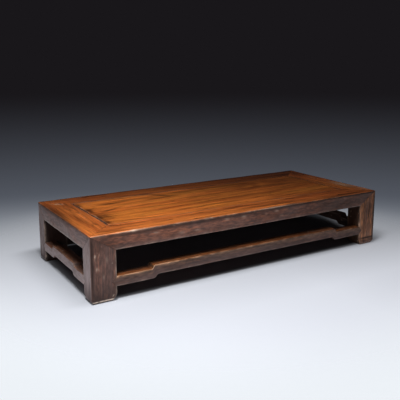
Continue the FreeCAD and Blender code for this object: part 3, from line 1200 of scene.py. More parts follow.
@dataclass
class TopFrame:
    """The mitred frame round the panel: two long rails and two end rails, grooved on the inside.

    A rail's section is measured in from its outer face and down from the top. Its corners go round from the
    outer arris, down the face, in along the underside and back up past the groove to the inner arris.
    """

    sizes: StandSizes
    first_seed: int = 11
    log_step: float = 400.0
    spacing: float = 2.4
    outer_ease: float = 2.0
    opening_ease: float = 1.2
    inner_ease: float = 0.6
    groove_ease: float = 0.25
    groove_depth: float = 7.0
    groove_top: float = 5.3
    # The painted shade below the front arris
    shade_from: float = -290.0
    shade_fade: float = 60.0
    shade_skin: float = 1.0
    shade_strength: float = 0.85
    shade_down: Pair = (4.2, 2.6)
    shade_wide: Pair = (2.4, 1.4)
    long_timber: Timber = Timber(pith=(70.0, 62.0), lean=(0.02, 0.012))
    end_timber: Timber = Timber(pith=(-46.0, 30.0), lean=(0.03, 0.02))
    front_wear: Wear = Wear(
        rubbed=(0.4, 0.4, 0.3, 0.0, 0.0, 0.0, 0.0, 0.1),
        seamed=(0.0, 0.0, 0.0, 0.0, 0.0, 0.0, 0.0, 0.75),
        rub_reach=1.7,
        rub_and_highlight_fade=0.85,
        end_dirt=0.25,
        knocks=40,
        scars=36,
    )
    back_wear: Wear = replace(front_wear, rubbed=(0.08, 0.35, 0.3, 0.0, 0.0, 0.0, 0.0, 0.1))
    end_wear: Wear = replace(back_wear, rub_and_highlight_fade=0.0, knocks=26, scars=18)
    front_cast: Cast = Cast(tone=1.2, tone_and_light_drift=-0.24, film=0.42, marks=(
        # The next three light marks on the front arris: wear and a painted highlight
        Mark(along=-228, p=0.5, q=0.5, length=48, width=1.5, strength=-0.5),
        Mark(along=-214, p=0.5, q=0.5, length=5, width=2, strength=-0.55),
        Mark(along=38, p=0.5, q=0.5, length=40, width=1.3, strength=-0.4),
        Mark(along=-178, q=9.8, length=4.5, width=1.5, strength=-0.26),
        Mark(along=-135, q=15.6, length=5, width=1.7, strength=-0.2),
        Mark(along=-107, q=16.7, length=5, width=1.4, strength=-0.18),
        Mark(along=-53, q=7.6, length=4, width=1.6, strength=-0.25),
        Mark(along=-21, q=7.8, length=4, width=1.4, strength=-0.3),
        Mark(along=46, q=7.6, length=4.5, width=1.5, strength=-0.28),
        Mark(along=57, q=15.7, length=4.5, width=1.4, strength=-0.2),
        Mark(along=-238, p=10.6, length=28, width=2.8, strength=0.6, slope=-0.14),
        Mark(along=-252, p=18, length=40, width=26, strength=0.25),
        Mark(along=-225, p=25, length=70, width=19, strength=0.16),
        Mark(along=190, q=14, length=90, width=12, strength=0.32),
        Mark(along=-258, q=12, length=13, width=14, strength=0.22),
        Mark(along=-60, p=30, length=90, width=1.8, strength=0.3, slope=0.02),
        Mark(along=120, p=12, length=110, width=4, strength=0.3, slope=-0.01),
        Mark(along=210, p=4, length=60, width=3, strength=0.6),
    ))
    back_cast: Cast = Cast(tone=0.7, tone_and_light_drift=-0.2, marks=(
        # Dark band along the back edge of the top: a painted reflection of the dark backdrop
        Mark(along=40, p=2, length=380, width=10, strength=0.8),
        Mark(along=150, p=24, length=110, width=8, strength=0.4, slope=0.02),
    ))
    left_cast: Cast = Cast(tone=1.0, film=0.55, marks=(
        Mark(along=86, p=22, length=4, width=4.5, strength=-0.45),
        Mark(along=80, p=29, length=2.5, width=3, strength=-0.4),
        Mark(along=91, p=13, length=3, width=2.5, strength=-0.35),
        Mark(along=62, p=40, length=14, width=3, strength=0.5),
        # Dark band along the outer arris of the top: painted shade
        Mark(along=15, p=2.5, length=110, width=5.5, strength=0.85),
        Mark(along=40, p=9, length=55, width=7, strength=0.4, slope=-0.05),
        Mark(along=-20, p=20, length=50, width=3, strength=0.35, slope=0.12),
        # Light line along the lower outer arris: a painted highlight
        Mark(along=10, q=24.6, length=100, width=1.2, strength=-0.4),
    ))
    right_cast: Cast = Cast(tone=1.3, gold=0.9, marks=(
        # The next three light patches on the top: painted highlights
        Mark(along=-46, p=13, length=24, width=9, strength=-1),
        Mark(along=-94, p=8, length=16, width=4.5, strength=-0.45),
        Mark(along=40, p=18, length=22, width=6, strength=-0.22),
        Mark(along=90, p=14, length=30, width=16, strength=0.6),
    ))

    def arris_shade(self, along: Array, v: Array, w: Array) -> Array:
        """Painted shade just below the front arris: a dark band which narrows and rises from left to right.

        Args:
            along: place along the rail.
            v: distance in from the front.
            w: distance down from the top.

        Returns:
            Painted shade at each place: a bell curve down the face that fades in at the left end.
        """
        started = smooth_step((along - self.shade_from) / self.shade_fade)
        on_face = v < self.shade_skin
        rightward = rise_across(along, self.sizes.half_length)
        down = np.interp(rightward, (0, 1), self.shade_down)
        wide = np.interp(rightward, (0, 1), self.shade_wide)
        return self.shade_strength * started * on_face * np.exp(-((w - down) / wide) ** 2)

    def section(self, width: float) -> Outline:
        """Draws a rail's section, with the panel's groove.

        Args:
            width: the rail's width.

        Returns:
            The section.
        """
        deep = self.sizes.rail_height
        floor = self.sizes.height - self.sizes.panel_bottom
        back = width - self.groove_depth
        corners = ((0, 0), (0, deep), (width, deep), (width, floor), (back, floor),
                   (back, self.groove_top), (width, self.groove_top), (width, 0))
        outer = (self.outer_ease, self.opening_ease, self.opening_ease)
        return Outline.eased(corners, (*outer, *(self.groove_ease,) * 4, self.inner_ease), self.spacing)

    def rail(self, side: Side, seed: int, wear: Wear, cast: Cast, soil: PlaceField,
             finish: Material) -> Piece:
        """Builds one rail along its side, between its mitres.

        Args:
            side: which rail.
            seed: its seed.
            wear: how it has been used.
            cast: how its wood differs.
            soil: more dark on it: on the front rail, the painted shade below its arris.
            finish: its material.

        Returns:
            The piece.
        """
        s = self.sizes
        if isinstance(side, LongSide):
            node = f"{side.name.lower()}_rail"
            width, half, mitre, timber = s.long_rail, s.half_length, s.long_mitre, self.long_timber
        else:
            node = f"{side.name.lower()}_end_rail"
            width, half, mitre, timber = s.end_rail, s.half_width, s.end_mitre, self.end_timber

        def place(along: Array, inward: Array, w: Array) -> Array:
            """Along the side, in from its face, down from the top."""
            return s.lay(side, along, inward, s.height - w)

        start, end = both_ends(half, mitre)
        member = Member(
            name=f"{node}_worn",
            outline=self.section(width),
            start=start,
            end=end,
            place=place,
            timber=replace(timber, shift=self.log_step * seed),
            wear=wear,
            seed=seed,
            cast=cast,
            dirt_and_shade_more=soil,
        )
        return member.build(finish, Slot.FRAME, node)

    def build(self, finish: Material) -> list[Piece]:
        """Builds the four rails.

        Args:
            finish: their material.

        Returns:
            The front, back, left and right rail.
        """
        rails = (
            (LongSide.FRONT, self.front_wear, self.front_cast, self.arris_shade),
            (LongSide.BACK, self.back_wear, self.back_cast, nothing),
            (EndSide.LEFT, self.end_wear, self.left_cast, nothing),
            (EndSide.RIGHT, self.end_wear, self.right_cast, nothing),
        )
        return [self.rail(side, seed, wear, cast, soil, finish)
                for seed, (side, wear, cast, soil) in enumerate(rails, self.first_seed)]


@dataclass
class TopPanel:
    """The floating panel, tongued into the frame, shrunk away from the left end rail.

    Its section is measured across y and down from the stand's top.
    """

    sizes: StandSizes
    seed: int = 21
    spacing: float = 1.8
    side_gap: float = 0.5
    right_gap: float = 0.8
    left_gap: float = 2.5
    ragged: Wander = Wander(wavelength=70.0, swing=0.8, seed=5)
    splintered: Wander = Wander(wavelength=13.0, swing=0.25, seed=6)
    tongue_down: float = 5.6
    tongue_hair: float = 0.05
    bevel: float = 0.6
    tongue_ease: float = 0.2
    under_ease: float = 0.4
    # Pale line along the shrunken left edge: bare wood and a painted highlight
    bare_edge: float = 0.25
    bare_in: float = 1.0
    bare_wide: float = 1.1
    bare_waver: Wander = Wander(wavelength=60.0, swing=0.45, level=0.55, seed=7)
    edge_close_up: CloseUp = CloseUp(first=1.0, last=12.0, gap=0.7)
    timber: Timber = Timber(pith=(42.0, 24.0), lean=(0.0, 0.16))
    wear: Wear = Wear(
        rubbed=(0.2, 0.0, 0.0, 0.0, 0.0, 0.0, 0.0, 0.1),
        seamed=(0.6, 0.0, 0.0, 0.0, 0.0, 0.0, 0.0, 0.6),
        end_ease=0.7,
        end_dirt=0.55,
        knocks=6,
        scars=8,
    )
    cast: Cast = Cast(tone=1.16, tone_and_light_drift=-0.2, marks=(
        Mark(along=-184, p=44, length=17, width=7, strength=0.75, slope=-0.05),
        Mark(along=-158, p=48, length=24, width=5.5, strength=0.6, slope=0.2),
        Mark(along=-80, p=57, length=20, width=5, strength=0.85, slope=-0.9),
        Mark(along=-90, p=37.5, length=32, width=4.5, strength=0.8, slope=0.1),
        Mark(along=-194, p=6, length=22, width=3.6, strength=0.75, slope=0.44),
        Mark(along=-139, p=6, length=22, width=3, strength=0.6, slope=-0.03),
        Mark(along=-184, p=-67, length=38, width=3.2, strength=0.7, slope=-0.15),
        Mark(along=-70, p=-48, length=70, width=2.6, strength=0.45, slope=0.03),
        Mark(along=-20, p=14, length=60, width=3, strength=0.4, slope=-0.05),
        Mark(along=40, p=-24, length=95, width=3.2, strength=0.45, slope=0.03),
        Mark(along=130, p=22, length=70, width=5, strength=0.5, slope=-0.04),
        Mark(along=150, p=-58, length=60, width=2.6, strength=0.5, slope=0.02),
        Mark(along=20, p=60, length=80, width=4.5, strength=0.4, slope=0.03),
        Mark(along=25, length=75, width=110, strength=0.15),
        Mark(along=-222, length=26, width=120, strength=0.3),
        Mark(along=190, p=45, length=70, width=40, strength=0.2),
        Mark(along=60, p=75, length=150, width=42, strength=0.3),
        Mark(along=-218, p=-27, length=8, width=14, strength=0.55),
        Mark(along=-231, p=-62, length=7, width=11, strength=0.95),
        Mark(along=-229, p=-30, length=4.5, width=16, strength=0.8),
        Mark(along=-228, p=14, length=5, width=18, strength=0.85),
        Mark(along=-222, p=24, length=9, width=3, strength=0.45, slope=0.7),
        Mark(along=-231, p=58, length=5, width=13, strength=0.75),
    ))

    @property
    def opening(self) -> float:
        """Half the length of the frame's opening."""
        return self.sizes.half_length - self.sizes.end_rail

    @property
    def edge(self) -> float:
        """Where the shrunken left edge lies on the whole."""
        return self.left_gap - self.opening

    @property
    def face(self) -> float:
        """Depth of the panel's upper face below the stand's top."""
        return self.sizes.height - self.sizes.panel_top

    def section(self) -> Outline:
        """Draws the section: from the front edge of the face down past the tongues to the back edge.

        Returns:
            The section.
        """
        half = self.sizes.half_width - self.sizes.long_rail - self.side_gap
        floor = self.sizes.height - self.sizes.panel_bottom
        lip = self.sizes.tongue_y
        corners = ((-half, self.face), (-half, self.tongue_down), (-lip, self.tongue_down), (-lip, floor),
                   (lip, floor), (lip, self.tongue_down), (half, self.tongue_down), (half, self.face))
        side = (self.bevel, self.tongue_ease, self.tongue_ease, self.under_ease)
        return Outline.eased(corners, (*side, *side[::-1]), self.spacing)

    def on_tongue(self, w: Array) -> Array:
        """Whether a place lies as deep as the tongue."""
        return w >= self.tongue_down - self.tongue_hair

    def left_end(self, y: Array, w: Array) -> Array:
        """The left end: a ragged shrunken edge above, the tongue below.

        Args:
            y: place across the panel.
            w: distance down from the top.

        Returns:
            Where the panel starts along x.
        """
        ragged = self.edge + self.ragged.at(y) + self.splintered.at(y)
        return np.where(self.on_tongue(w), -self.sizes.tongue_x, ragged)

    def right_end(self, y: Array, w: Array) -> Array:
        """The right end: a straight edge above, the tongue below."""
        return np.where(self.on_tongue(w), self.sizes.tongue_x, self.opening - self.right_gap)

    def place(self, along: Array, y: Array, w: Array) -> Array:
        """Along x, across y, down from the top."""
        return np.stack([along, y, self.sizes.height - w], -1)

    def worn_edge_and_highlight(self, along: Array, y: Array, w: Array) -> Array:
        """Bare wood and a painted highlight along the shrunken left edge: a narrow bell curve past the
        edge, broken along y.

        Args:
            along: place along x.
            y: place across the panel.
            w: distance down from the top.

        Returns:
            How pale each place is: bare wood and painted highlight.
        """
        broken = np.clip(self.bare_waver.at(y), 0.0, 1.0)
        on_top = w < self.bevel
        past = (along - self.edge - self.bare_in) / self.bare_wide
        return self.bare_edge * broken * on_top * np.exp(-past ** 2)

    def build(self, finish: Material) -> list[Piece]:
        """Builds the panel along x, with its marks on its face.

        Args:
            finish: its material.

        Returns:
            The panel.
        """
        marks = tuple(replace(mark, q=self.face) for mark in self.cast.marks)
        member = Member(
            name="top_panel_worn",
            outline=self.section(),
            start=self.left_end,
            end=self.right_end,
            place=self.place,
            timber=self.timber,
            wear=self.wear,
            seed=self.seed,
            cast=replace(self.cast, marks=marks),
            spacing=self.spacing,
            close_up=(self.edge_close_up.moved(-self.opening),),
            rub_and_highlight_more=self.worn_edge_and_highlight,
        )
        return [member.build(finish, Slot.PANEL, "top_panel")]


@dataclass(frozen=True)
class FootSoil:
    """Soil on a foot: how dark it is at the floor, and how dark the line above its bevel is."""

    fade: float
    line: float


@dataclass
class Legs:
    """Four square legs with mitred tops, shallow beds for the stretchers' shoulders and eased feet.

    A leg's section is measured in from the end and in from the long side.
    """

    sizes: StandSizes
    first_seed: int = 31
    log_step: float = 300.0
    spacing: float = 1.3
    step: float = 1.5
    outer_ease: float = 2.0
    opening_ease: float = 1.2
    foot_run: float = 3.0
    foot_rise: float = 5.0
    inner_foot_run: float = 6.5
    inner_foot_rise: float = 12.0
    inner_foot_curve: float = 0.7
    shoulder_height: float = 15.0
    shoulder_bed: float = 0.9
    bed_skin: float = 1.4
    bed_edge: float = 0.5
    bed_margin: float = 1.0
    bed_gap: float = 0.6
    foot_close_up: CloseUp = CloseUp(first=0.0, last=14.0, gap=0.7)
    skin: float = 0.8
    # more film on the end face, partly a painted reflection of the bright floor
    end_film_and_reflection: float = 2.2
    # Pale band on the foot's front bevel: bare wood and a painted reflection of the bright floor
    foot_band: float = 3.0
    foot_band_wide: float = 1.15
    foot_pale: float = 1.5
    foot_waver: Wander = Wander(wavelength=31.0, swing=0.4, level=1.1, seed=8)
    soiled_height: float = 44.0
    soil_waver: Wander = Wander(wavelength=17.0, swing=0.25, level=1.0, seed=9)
    soil_line: float = 7.6
    soil_line_wide: float = 1.6
    bevel_dirt: float = 0.8
    bevel_clean: float = 0.6
    # Painted shade on the inner faces, and a painted shadow where the foot meets the floor
    inner_shade: float = 1.0
    contact_shadow_height: float = 1.5
    left_soil: FootSoil = FootSoil(fade=0.7, line=0.75)
    right_soil: FootSoil = FootSoil(fade=0.1, line=0.0)
    timber: Timber = Timber(pith=(-38.0, 55.0), lean=(0.05, -0.04))
    wear: Wear = Wear(
        rubbed=(0.0, 0.25, 0.15, 0.25),
        seamed=(0.85, 0.0, 0.0, 0.0),
        seam_reach=1.5,
        end_dirt=0.4,
        knocks=22,
        scars=14,
    )
    front_left: Cast = Cast(tone=0.76, film=0.34, marks=(
        Mark(along=50, p=2.2, length=60, width=2.2, strength=0.85),
        Mark(along=71, p=6.6, length=2, width=1.2, strength=-0.5),
        Mark(along=67, p=6, length=5, width=1.2, strength=-0.15),
        Mark(along=51.4, p=8.7, length=2.2, width=1, strength=-0.4),
        Mark(along=38.2, p=18.9, length=3.2, width=1.2, strength=-0.14),
        Mark(along=63.2, p=24, length=4, width=1.6, strength=-0.12),
        Mark(along=83.2, p=16.8, length=2, width=0.9, strength=-0.34),
        Mark(along=88, p=12, length=11, width=17, strength=0.26),
    ))
    front_right: Cast = Cast(tone=3.1, film=0.15, gold=0.6, marks=(
        Mark(along=55, p=1.6, length=60, width=3, strength=0.95),
        Mark(along=12.5, p=18, length=1.5, width=18, strength=1),
        Mark(along=19, p=22, length=4, width=13, strength=-0.12),
        Mark(along=3, p=30, length=2, width=5, strength=-0.2),
        Mark(along=45, p=37, length=50, width=2.2, strength=-0.2),
        Mark(along=6, p=25, length=3.5, width=8, strength=0.6),
        Mark(along=8, p=9, length=3, width=5, strength=0.5),
        Mark(along=60, p=15, length=22, width=1.6, strength=0.5),
        Mark(along=40, p=27, length=25, width=3, strength=0.45),
        Mark(along=74, p=18, length=20, width=19, strength=0.3),
    ))
    back_left: Cast = Cast(tone=1.2, film=0.4, marks=(
        # Light line on the foot's bevel: bare wood and a painted reflection of the bright floor
        Mark(along=3.4, q=16, length=1.3, width=9, strength=-0.5),
        Mark(along=8, q=15, length=1.6, width=16, strength=0.7),
        Mark(along=55, q=15, length=60, width=30, strength=0.25),
    ))
    back_right: Cast = Cast(tone=1.15, film=0.6)

    def foot_rub_and_reflection(self, along: Array, u: Array, v: Array) -> Array:
        """Bare wood and a painted reflection of the bright floor on the foot's front bevel: a flat-topped
        bell up the height, broken round the leg.

        Args:
            along: height above the floor.
            u: distance in from the end.
            v: distance in from the long side.

        Returns:
            How pale each place is: bare wood and painted reflection.
        """
        broken = np.clip(self.foot_waver.at(u), 0.0, 1.0)
        band = np.exp(-((along - self.foot_band) / self.foot_band_wide) ** 4)
        return self.foot_pale * (v < self.skin) * broken * band

    def foot_soil_and_shade(self, along: Array, u: Array, v: Array, soil: FootSoil) -> Array:
        """Soil low on the leg, fading upwards, a dark line above the bevel, and a painted shadow where the
        foot meets the floor.

        The bevel at the stand's end is dark as well, and the unrubbed inner faces carry painted shade.

        Args:
            along: height above the floor.
            u: distance in from the end.
            v: distance in from the long side.
            soil: how dark this foot is.

        Returns:
            Soil and painted shade at each place.
        """
        height = self.soiled_height * self.soil_waver.at(u + v)
        fade = soil.fade * (1 - smooth_step(along / height))
        line = soil.line * np.exp(-((along - self.soil_line) / self.soil_line_wide) ** 2)
        end_bevel = (u < self.skin) * (1 - smooth_step(along / self.foot_rise - self.bevel_clean))
        # painted shade on the inner faces and a painted shadow at the floor
        inner = np.maximum(u - self.sizes.leg_x, v - self.sizes.leg_y) > -self.skin
        contact_shadow = 1 - smooth_step(along / self.contact_shadow_height)
        layers = (fade, line, self.bevel_dirt * end_bevel, self.inner_shade * inner, contact_shadow)
        return np.maximum.reduce(layers)

    def film_and_reflection_on_end(self, along: Array, u: Array, v: Array) -> Array:
        """More film on the face at the stand's end: partly a painted reflection of the bright floor beside
        it.
        """
        return self.end_film_and_reflection * (u < self.skin)

    def shoulder_bed_depth(self, along: Array, u: Array, v: Array) -> Array:
        """Depth of the pointed beds cut in the two outer faces where the stretchers run in.

        A bed reaches into the face as far as half the shoulder's height less the height above or below the
        stretcher's middle line.

        Args:
            along: height above the floor.
            u: distance in from the end.
            v: distance in from the long side.

        Returns:
            The depth at each place.
        """
        s = self.sizes
        half = self.shoulder_height / 2
        point = half - np.abs(along - s.stretcher_clear - half)
        front = np.where(v < self.bed_skin, point - (s.leg_x - u), -1.0)
        side = np.where(u < self.bed_skin, point - (s.leg_y - v), -1.0)
        return self.shoulder_bed * smooth_step(np.maximum(front, side) / self.bed_edge)

    def drawn_in(self, across: Array, z: Array, width: float) -> Array:
        """Draws the section in towards the floor: a flat bevel outside and a taller curve inside.

        The curve is a power of a smooth step. The width between them is scaled to fit.

        Args:
            across: distance in from an outer face.
            z: height above the floor.
            width: the leg's width that way.

        Returns:
            The distance in, with the foot's shape.
        """
        outer = self.foot_run * np.clip(1 - z / self.foot_rise, 0.0, 1.0)
        inner = self.inner_foot_run * (1 - smooth_step(z / self.inner_foot_rise) ** self.inner_foot_curve)
        return outer + across * (width - outer - inner) / width

    def leg(self, long_side: LongSide, end_side: EndSide, seed: int, cast: Cast, finish: Material) -> Piece:
        """Builds one leg up its length, in from its two outer faces.

        Args:
            long_side: the long side it stands at.
            end_side: the end it stands at.
            seed: its seed.
            cast: how its wood differs.
            finish: its material.

        Returns:
            The piece.
        """
        s = self.sizes
        left = end_side is EndSide.LEFT

        def place(along: Array, u: Array, v: Array) -> Array:
            """Sets the leg out from its corner of the stand, with its foot's shape.

            Args:
                along: height above the floor.
                u: distance in from the end.
                v: distance in from the long side.

            Returns:
                x, y and z of each place.
            """
            x = end_side.value * (s.half_length - self.drawn_in(u, along, s.leg_x))
            y = long_side.value * (s.half_width - self.drawn_in(v, along, s.leg_y))
            return np.stack([x, y, along], -1)

        def top(u: Array, v: Array) -> Array:
            """The mitred top."""
            return s.height - s.leg_drop(u, v)

        def soiled_and_shaded(along: Array, u: Array, v: Array) -> Array:
            """Soil and painted shade on this end's legs."""
            return self.foot_soil_and_shade(along, u, v, self.left_soil if left else self.right_soil)

        node = f"{long_side.name.lower()}_{end_side.name.lower()}_leg"
        corners = ((0, 0), (s.leg_x, 0), (s.leg_x, s.leg_y), (0, s.leg_y))
        low = s.stretcher_clear
        bed = CloseUp(low - self.bed_margin, low + self.shoulder_height + self.bed_margin, self.bed_gap)
        member = Member(
            name=f"{node}_worn",
            outline=Outline.eased(corners, (self.outer_ease, *(self.opening_ease,) * 3), self.spacing),
            start=flush,
            end=top,
            place=place,
            timber=replace(self.timber, shift=self.log_step * seed),
            wear=self.wear,
            seed=seed,
            cast=cast,
            spacing=self.step,
            close_up=(self.foot_close_up, bed),
            carve=self.shoulder_bed_depth,
            rub_and_highlight_more=self.foot_rub_and_reflection if left else nothing,
            dirt_and_shade_more=soiled_and_shaded,
            film_and_reflection_more=self.film_and_reflection_on_end,
        )
        return member.build(finish, Slot.FRAME, node)

    def build(self, finish: Material) -> list[Piece]:
        """Builds the four legs.

        Args:
            finish: their material.

        Returns:
            The front left, front right, back left and back right leg.
        """
        casts = (self.front_left, self.front_right, self.back_left, self.back_right)
        corners = [(long_side, end_side) for long_side in LongSide for end_side in EndSide]
        return [self.leg(*corner, seed, cast, finish)
                for seed, (corner, cast) in enumerate(zip(corners, casts), self.first_seed)]


@dataclass(frozen=True)
class Bar:
    """What sets the long and the short stretchers apart.

    Attributes:
        low_end: length of each low end.
        clean: depth of the strip of its top that is left out of the painted shade.
        shaded_top: how dark the painted shade of the rail above is on its top behind that strip.
        soiled_foot: how dark its face is low down.
        rubbed: how bare each corner of its section is rubbed.
    """

    low_end: float
    clean: float
    shaded_top: float
    soiled_foot: float
    rubbed: Sequence[float]


@dataclass
class Stretchers:
    """Four humpback stretchers, flush with the legs, with pointed shoulders.

    A stretcher's section is measured in from its outer face and up from its underside.
    """

    sizes: StandSizes
    first_seed: int = 51
    log_step: float = 300.0
    spacing: float = 1.5
    step: float = 1.8
    face_height: float = 15.0
    rise: float = 5.5
    top_run: float = 7.0
    bottom_run: float = 10.0
    bottom_lag: float = 3.0
    rise_close_up: CloseUp = CloseUp(first=-1.0, last=14.0, gap=0.3)
    arris: float = 1.0
    sunk: float = 0.06
    point_depth: float = 1.6
    point_edge: float = 0.4
    # Painted shade on the tops, under the rails, and on the inner faces
    top_shade_run: float = 16.0
    inner_shade: float = 0.97
    lower_film: float = 0.4
    upper_from: float = 0.35
    upper_run: float = 0.4
    # the tops, under the rails, keep mostly the upright colours, partly as painted shade
    top_share: float = 0.3
    timber: Timber = Timber(pith=(44.0, -30.0), lean=(0.02, 0.03))
    wear: Wear = Wear(
        rubbed=(0.0, 0.0, 0.0, 0.0),
        seamed=(0.0, 0.0, 0.0, 0.0),
        rub_reach=2.1,
        rub_and_highlight_fade=0.8,
        end_ease=0.3,
        knocks=20,
        scars=14,
    )
    long_bar: Bar = Bar(
        low_end=55.0, clean=2.5, shaded_top=0.86, soiled_foot=0.3, rubbed=(0.2, 0.1, 0.3, 0.5))
    short_bar: Bar = Bar(
        low_end=37.0, clean=-12.0, shaded_top=0.82, soiled_foot=0.0, rubbed=(0.15, 0.1, 0.1, 0.12))
    front_cast: Cast = Cast(tone=0.72, tone_and_light_drift=0.06, film=0.1, gold=0.9, marks=(
        # The next three light marks on the top front arris: wear and a painted highlight
        Mark(along=-215, p=0.3, q=14.8, length=20, width=1.2, strength=-0.5),
        Mark(along=-168, p=0.3, q=14.8, length=24, width=1.2, strength=-0.45),
        Mark(along=-240, q=14.5, length=2, width=1.6, strength=-0.5),
        Mark(along=-227, q=9.5, length=5, width=1.8, strength=0.6),
        Mark(along=-211, q=8.5, length=6, width=1.6, strength=0.55),
        Mark(along=-190, q=12.5, length=3.5, width=1.8, strength=0.8),
        Mark(along=-158, q=8, length=14, width=1.6, strength=0.4),
        Mark(along=-118, q=12.5, length=24, width=1.2, strength=0.6),
        Mark(along=-70, q=7, length=26, width=1.8, strength=0.4),
        Mark(along=0, q=11.5, length=40, width=1.6, strength=0.45),
        Mark(along=90, q=6.5, length=40, width=2, strength=0.45),
    ))
    back_cast: Cast = Cast(tone=0.74, tone_and_light_drift=-0.1, film=0.14, gold=0.9)
    short_cast: Cast = Cast(tone=1.1, film=1.2)

    def ogee(self, inward: Array, run: float) -> Array:
        """Height of the rise past its foot: two equal arcs, the second the first turned over.

        Args:
            inward: distance past the foot of the rise.
            run: length of the rise.

        Returns:
            The height at each place.
        """
        radius = (run * run + self.rise * self.rise) / (4 * self.rise)
        held = np.clip(inward, 0.0, run)
        from_level = np.minimum(held, run - held)
        half = radius - np.sqrt(np.maximum(radius ** 2 - from_level ** 2, 0.0))
        return np.where(held < run / 2, half, self.rise - half)

    def lower(self, q: Array) -> Array:
        """Falls from 1 to 0 over the middle of a stretcher's height."""
        return 1 - smooth_step((q / self.face_height - self.upper_from) / self.upper_run)

    def soil(self, p: Array, q: Array, bar: Bar) -> Array:
        """Painted shade on the inner face and on the top behind a lit strip, under the rail above, and soil
        low on the outer face.

        Args:
            p: distance in from the outer face.
            q: height above the underside.
            bar: the kind of stretcher.

        Returns:
            Painted shade and soil at each place.
        """
        # painted shade on the inner face, and on the top behind a lit strip under the rail above
        inner = self.inner_shade * (p > self.sizes.stretcher_depth - self.arris)
        on_top = q > self.face_height - self.arris
        behind = bar.shaded_top * on_top * smooth_step((p - bar.clean) / self.top_shade_run)
        low = bar.soiled_foot * self.lower(q)
        return np.maximum(np.maximum(inner, behind), low)

    def stretcher(self, side: Side, seed: int, bar: Bar, cast: Cast, finish: Material) -> Piece:
        """Builds one stretcher along its side, between the legs.

        Args:
            side: which stretcher.
            seed: its seed.
            bar: the kind of stretcher.
            cast: how its wood differs.
            finish: its material.

        Returns:
            The piece.
        """
        s = self.sizes
        high = self.face_height
        half_span = s.half_length - s.leg_x if isinstance(side, LongSide) else s.half_width - s.leg_y
        foot = half_span - bar.low_end

        def place(along: Array, p: Array, q: Array) -> Array:
            """Lifts the lower half of the section by the lower curve and the upper half by the upper one.

            Args:
                along: place along the stretcher.
                p: distance in from its outer face.
                q: height above its underside.

            Returns:
                x, y and z of each place.
            """
            inward = foot - np.abs(along)
            below = self.ogee(inward - self.bottom_lag, self.bottom_run)
            above = self.ogee(inward, self.top_run)
            lift = np.where(q < high / 2, below, above)
            return s.lay(side, along, self.sunk + p, s.stretcher_clear + q + lift)

        def inset(p: Array, q: Array) -> Array:
            """The shoulder points into the leg by the height to its nearer edge, so it is negative."""
            at_face = np.clip((self.point_depth - p) / self.point_edge, 0.0, 1.0)
            return -at_face * (high / 2 - np.abs(q - high / 2))

        def soiled_and_shaded(along: Array, p: Array, q: Array) -> Array:
            """Soil and painted shade of this kind of stretcher."""
            return self.soil(p, q, bar)

        def filmed(along: Array, p: Array, q: Array) -> Array:
            """More film low on the faces."""
            return self.lower_film * self.lower(q)

        def less_gold(along: Array, p: Array, q: Array) -> Array:
            """No gold low on the faces."""
            return -cast.gold * self.lower(q)

        corners = ((0, 0), (s.stretcher_depth, 0), (s.stretcher_depth, high), (0, high))
        start, end = both_ends(half_span, inset)
        left_rise = self.rise_close_up.moved(-foot)
        node = f"{side.name.lower()}_stretcher"
        member = Member(
            name=f"{node}_worn",
            outline=Outline.eased(corners, (self.arris,) * 4, self.spacing),
            start=start,
            end=end,
            place=place,
            timber=replace(self.timber, shift=self.log_step * seed),
            wear=replace(self.wear, rubbed=bar.rubbed),
            seed=seed,
            cast=cast,
            spacing=self.step,
            close_up=(left_rise, left_rise.mirrored()),
            top_share=self.top_share,
            dirt_and_shade_more=soiled_and_shaded,
            film_and_reflection_more=filmed,
            gold_more=less_gold,
        )
        return member.build(finish, Slot.FRAME, node)

    def build(self, finish: Material) -> list[Piece]:
        """Builds the two long and the two short stretchers.

        Args:
            finish: their material.

        Returns:
            The front, back, left and right stretcher.
        """
        bars = (
            (LongSide.FRONT, self.long_bar, self.front_cast),
            (LongSide.BACK, self.long_bar, self.back_cast),
            (EndSide.LEFT, self.short_bar, self.short_cast),
            (EndSide.RIGHT, self.short_bar, self.short_cast),
        )
        return [self.stretcher(side, seed, bar, cast, finish)
                for seed, (side, bar, cast) in enumerate(bars, self.first_seed)]


@dataclass
class Battens:
    """Two dovetailed battens under the panel, with a section of x and z."""

    sizes: StandSizes
    first_seed: int = 61
    log_step: float = 250.0
    spacing: float = 3.0
    bottom_ease: float = 2.0
    joint_ease: float = 0.3
    timber: Timber = Timber(pith=(60.0, 20.0), lean=(0.02, 0.02))
    wear: Wear = Wear(rubbed=(0.4, 0.4, 0.0, 0.0), seamed=(0.0, 0.0, 0.8, 0.8), knocks=4)

    def place(self, along: Array, x: Array, z: Array) -> Array:
        """Along y, across x, up."""
        return np.stack([x, along, z], -1)

    def batten(self, side: EndSide, index: int, finish: Material) -> Piece:
        """Builds one batten along y, from rail to rail, up to the panel's underside.

        Args:
            side: the end it lies nearer to.
            index: which batten it is.
            finish: its material.

        Returns:
            The piece.
        """
        s = self.sizes
        node = f"{side.name.lower()}_batten"
        low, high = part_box(node)
        left, bottom, right = low[0] / MM, low[2] / MM, high[0] / MM
        corners = ((left, bottom), (right, bottom), (right, s.panel_bottom), (left, s.panel_bottom))
        radii = (self.bottom_ease, self.bottom_ease, self.joint_ease, self.joint_ease)
        start, end = both_ends(s.half_width - s.long_rail, flush)
        member = Member(
            name=f"{node}_planed",
            outline=Outline.eased(corners, radii, self.spacing),
            start=start,
            end=end,
            place=self.place,
            timber=replace(self.timber, shift=self.log_step * index),
            wear=self.wear,
            seed=self.first_seed + index,
            spacing=self.spacing,
        )
        return member.build(finish, Slot.BATTEN, node)

    def build(self, finish: Material) -> list[Piece]:
        """Builds the left and the right batten."""
        return [self.batten(side, index, finish) for index, side in enumerate(EndSide)]


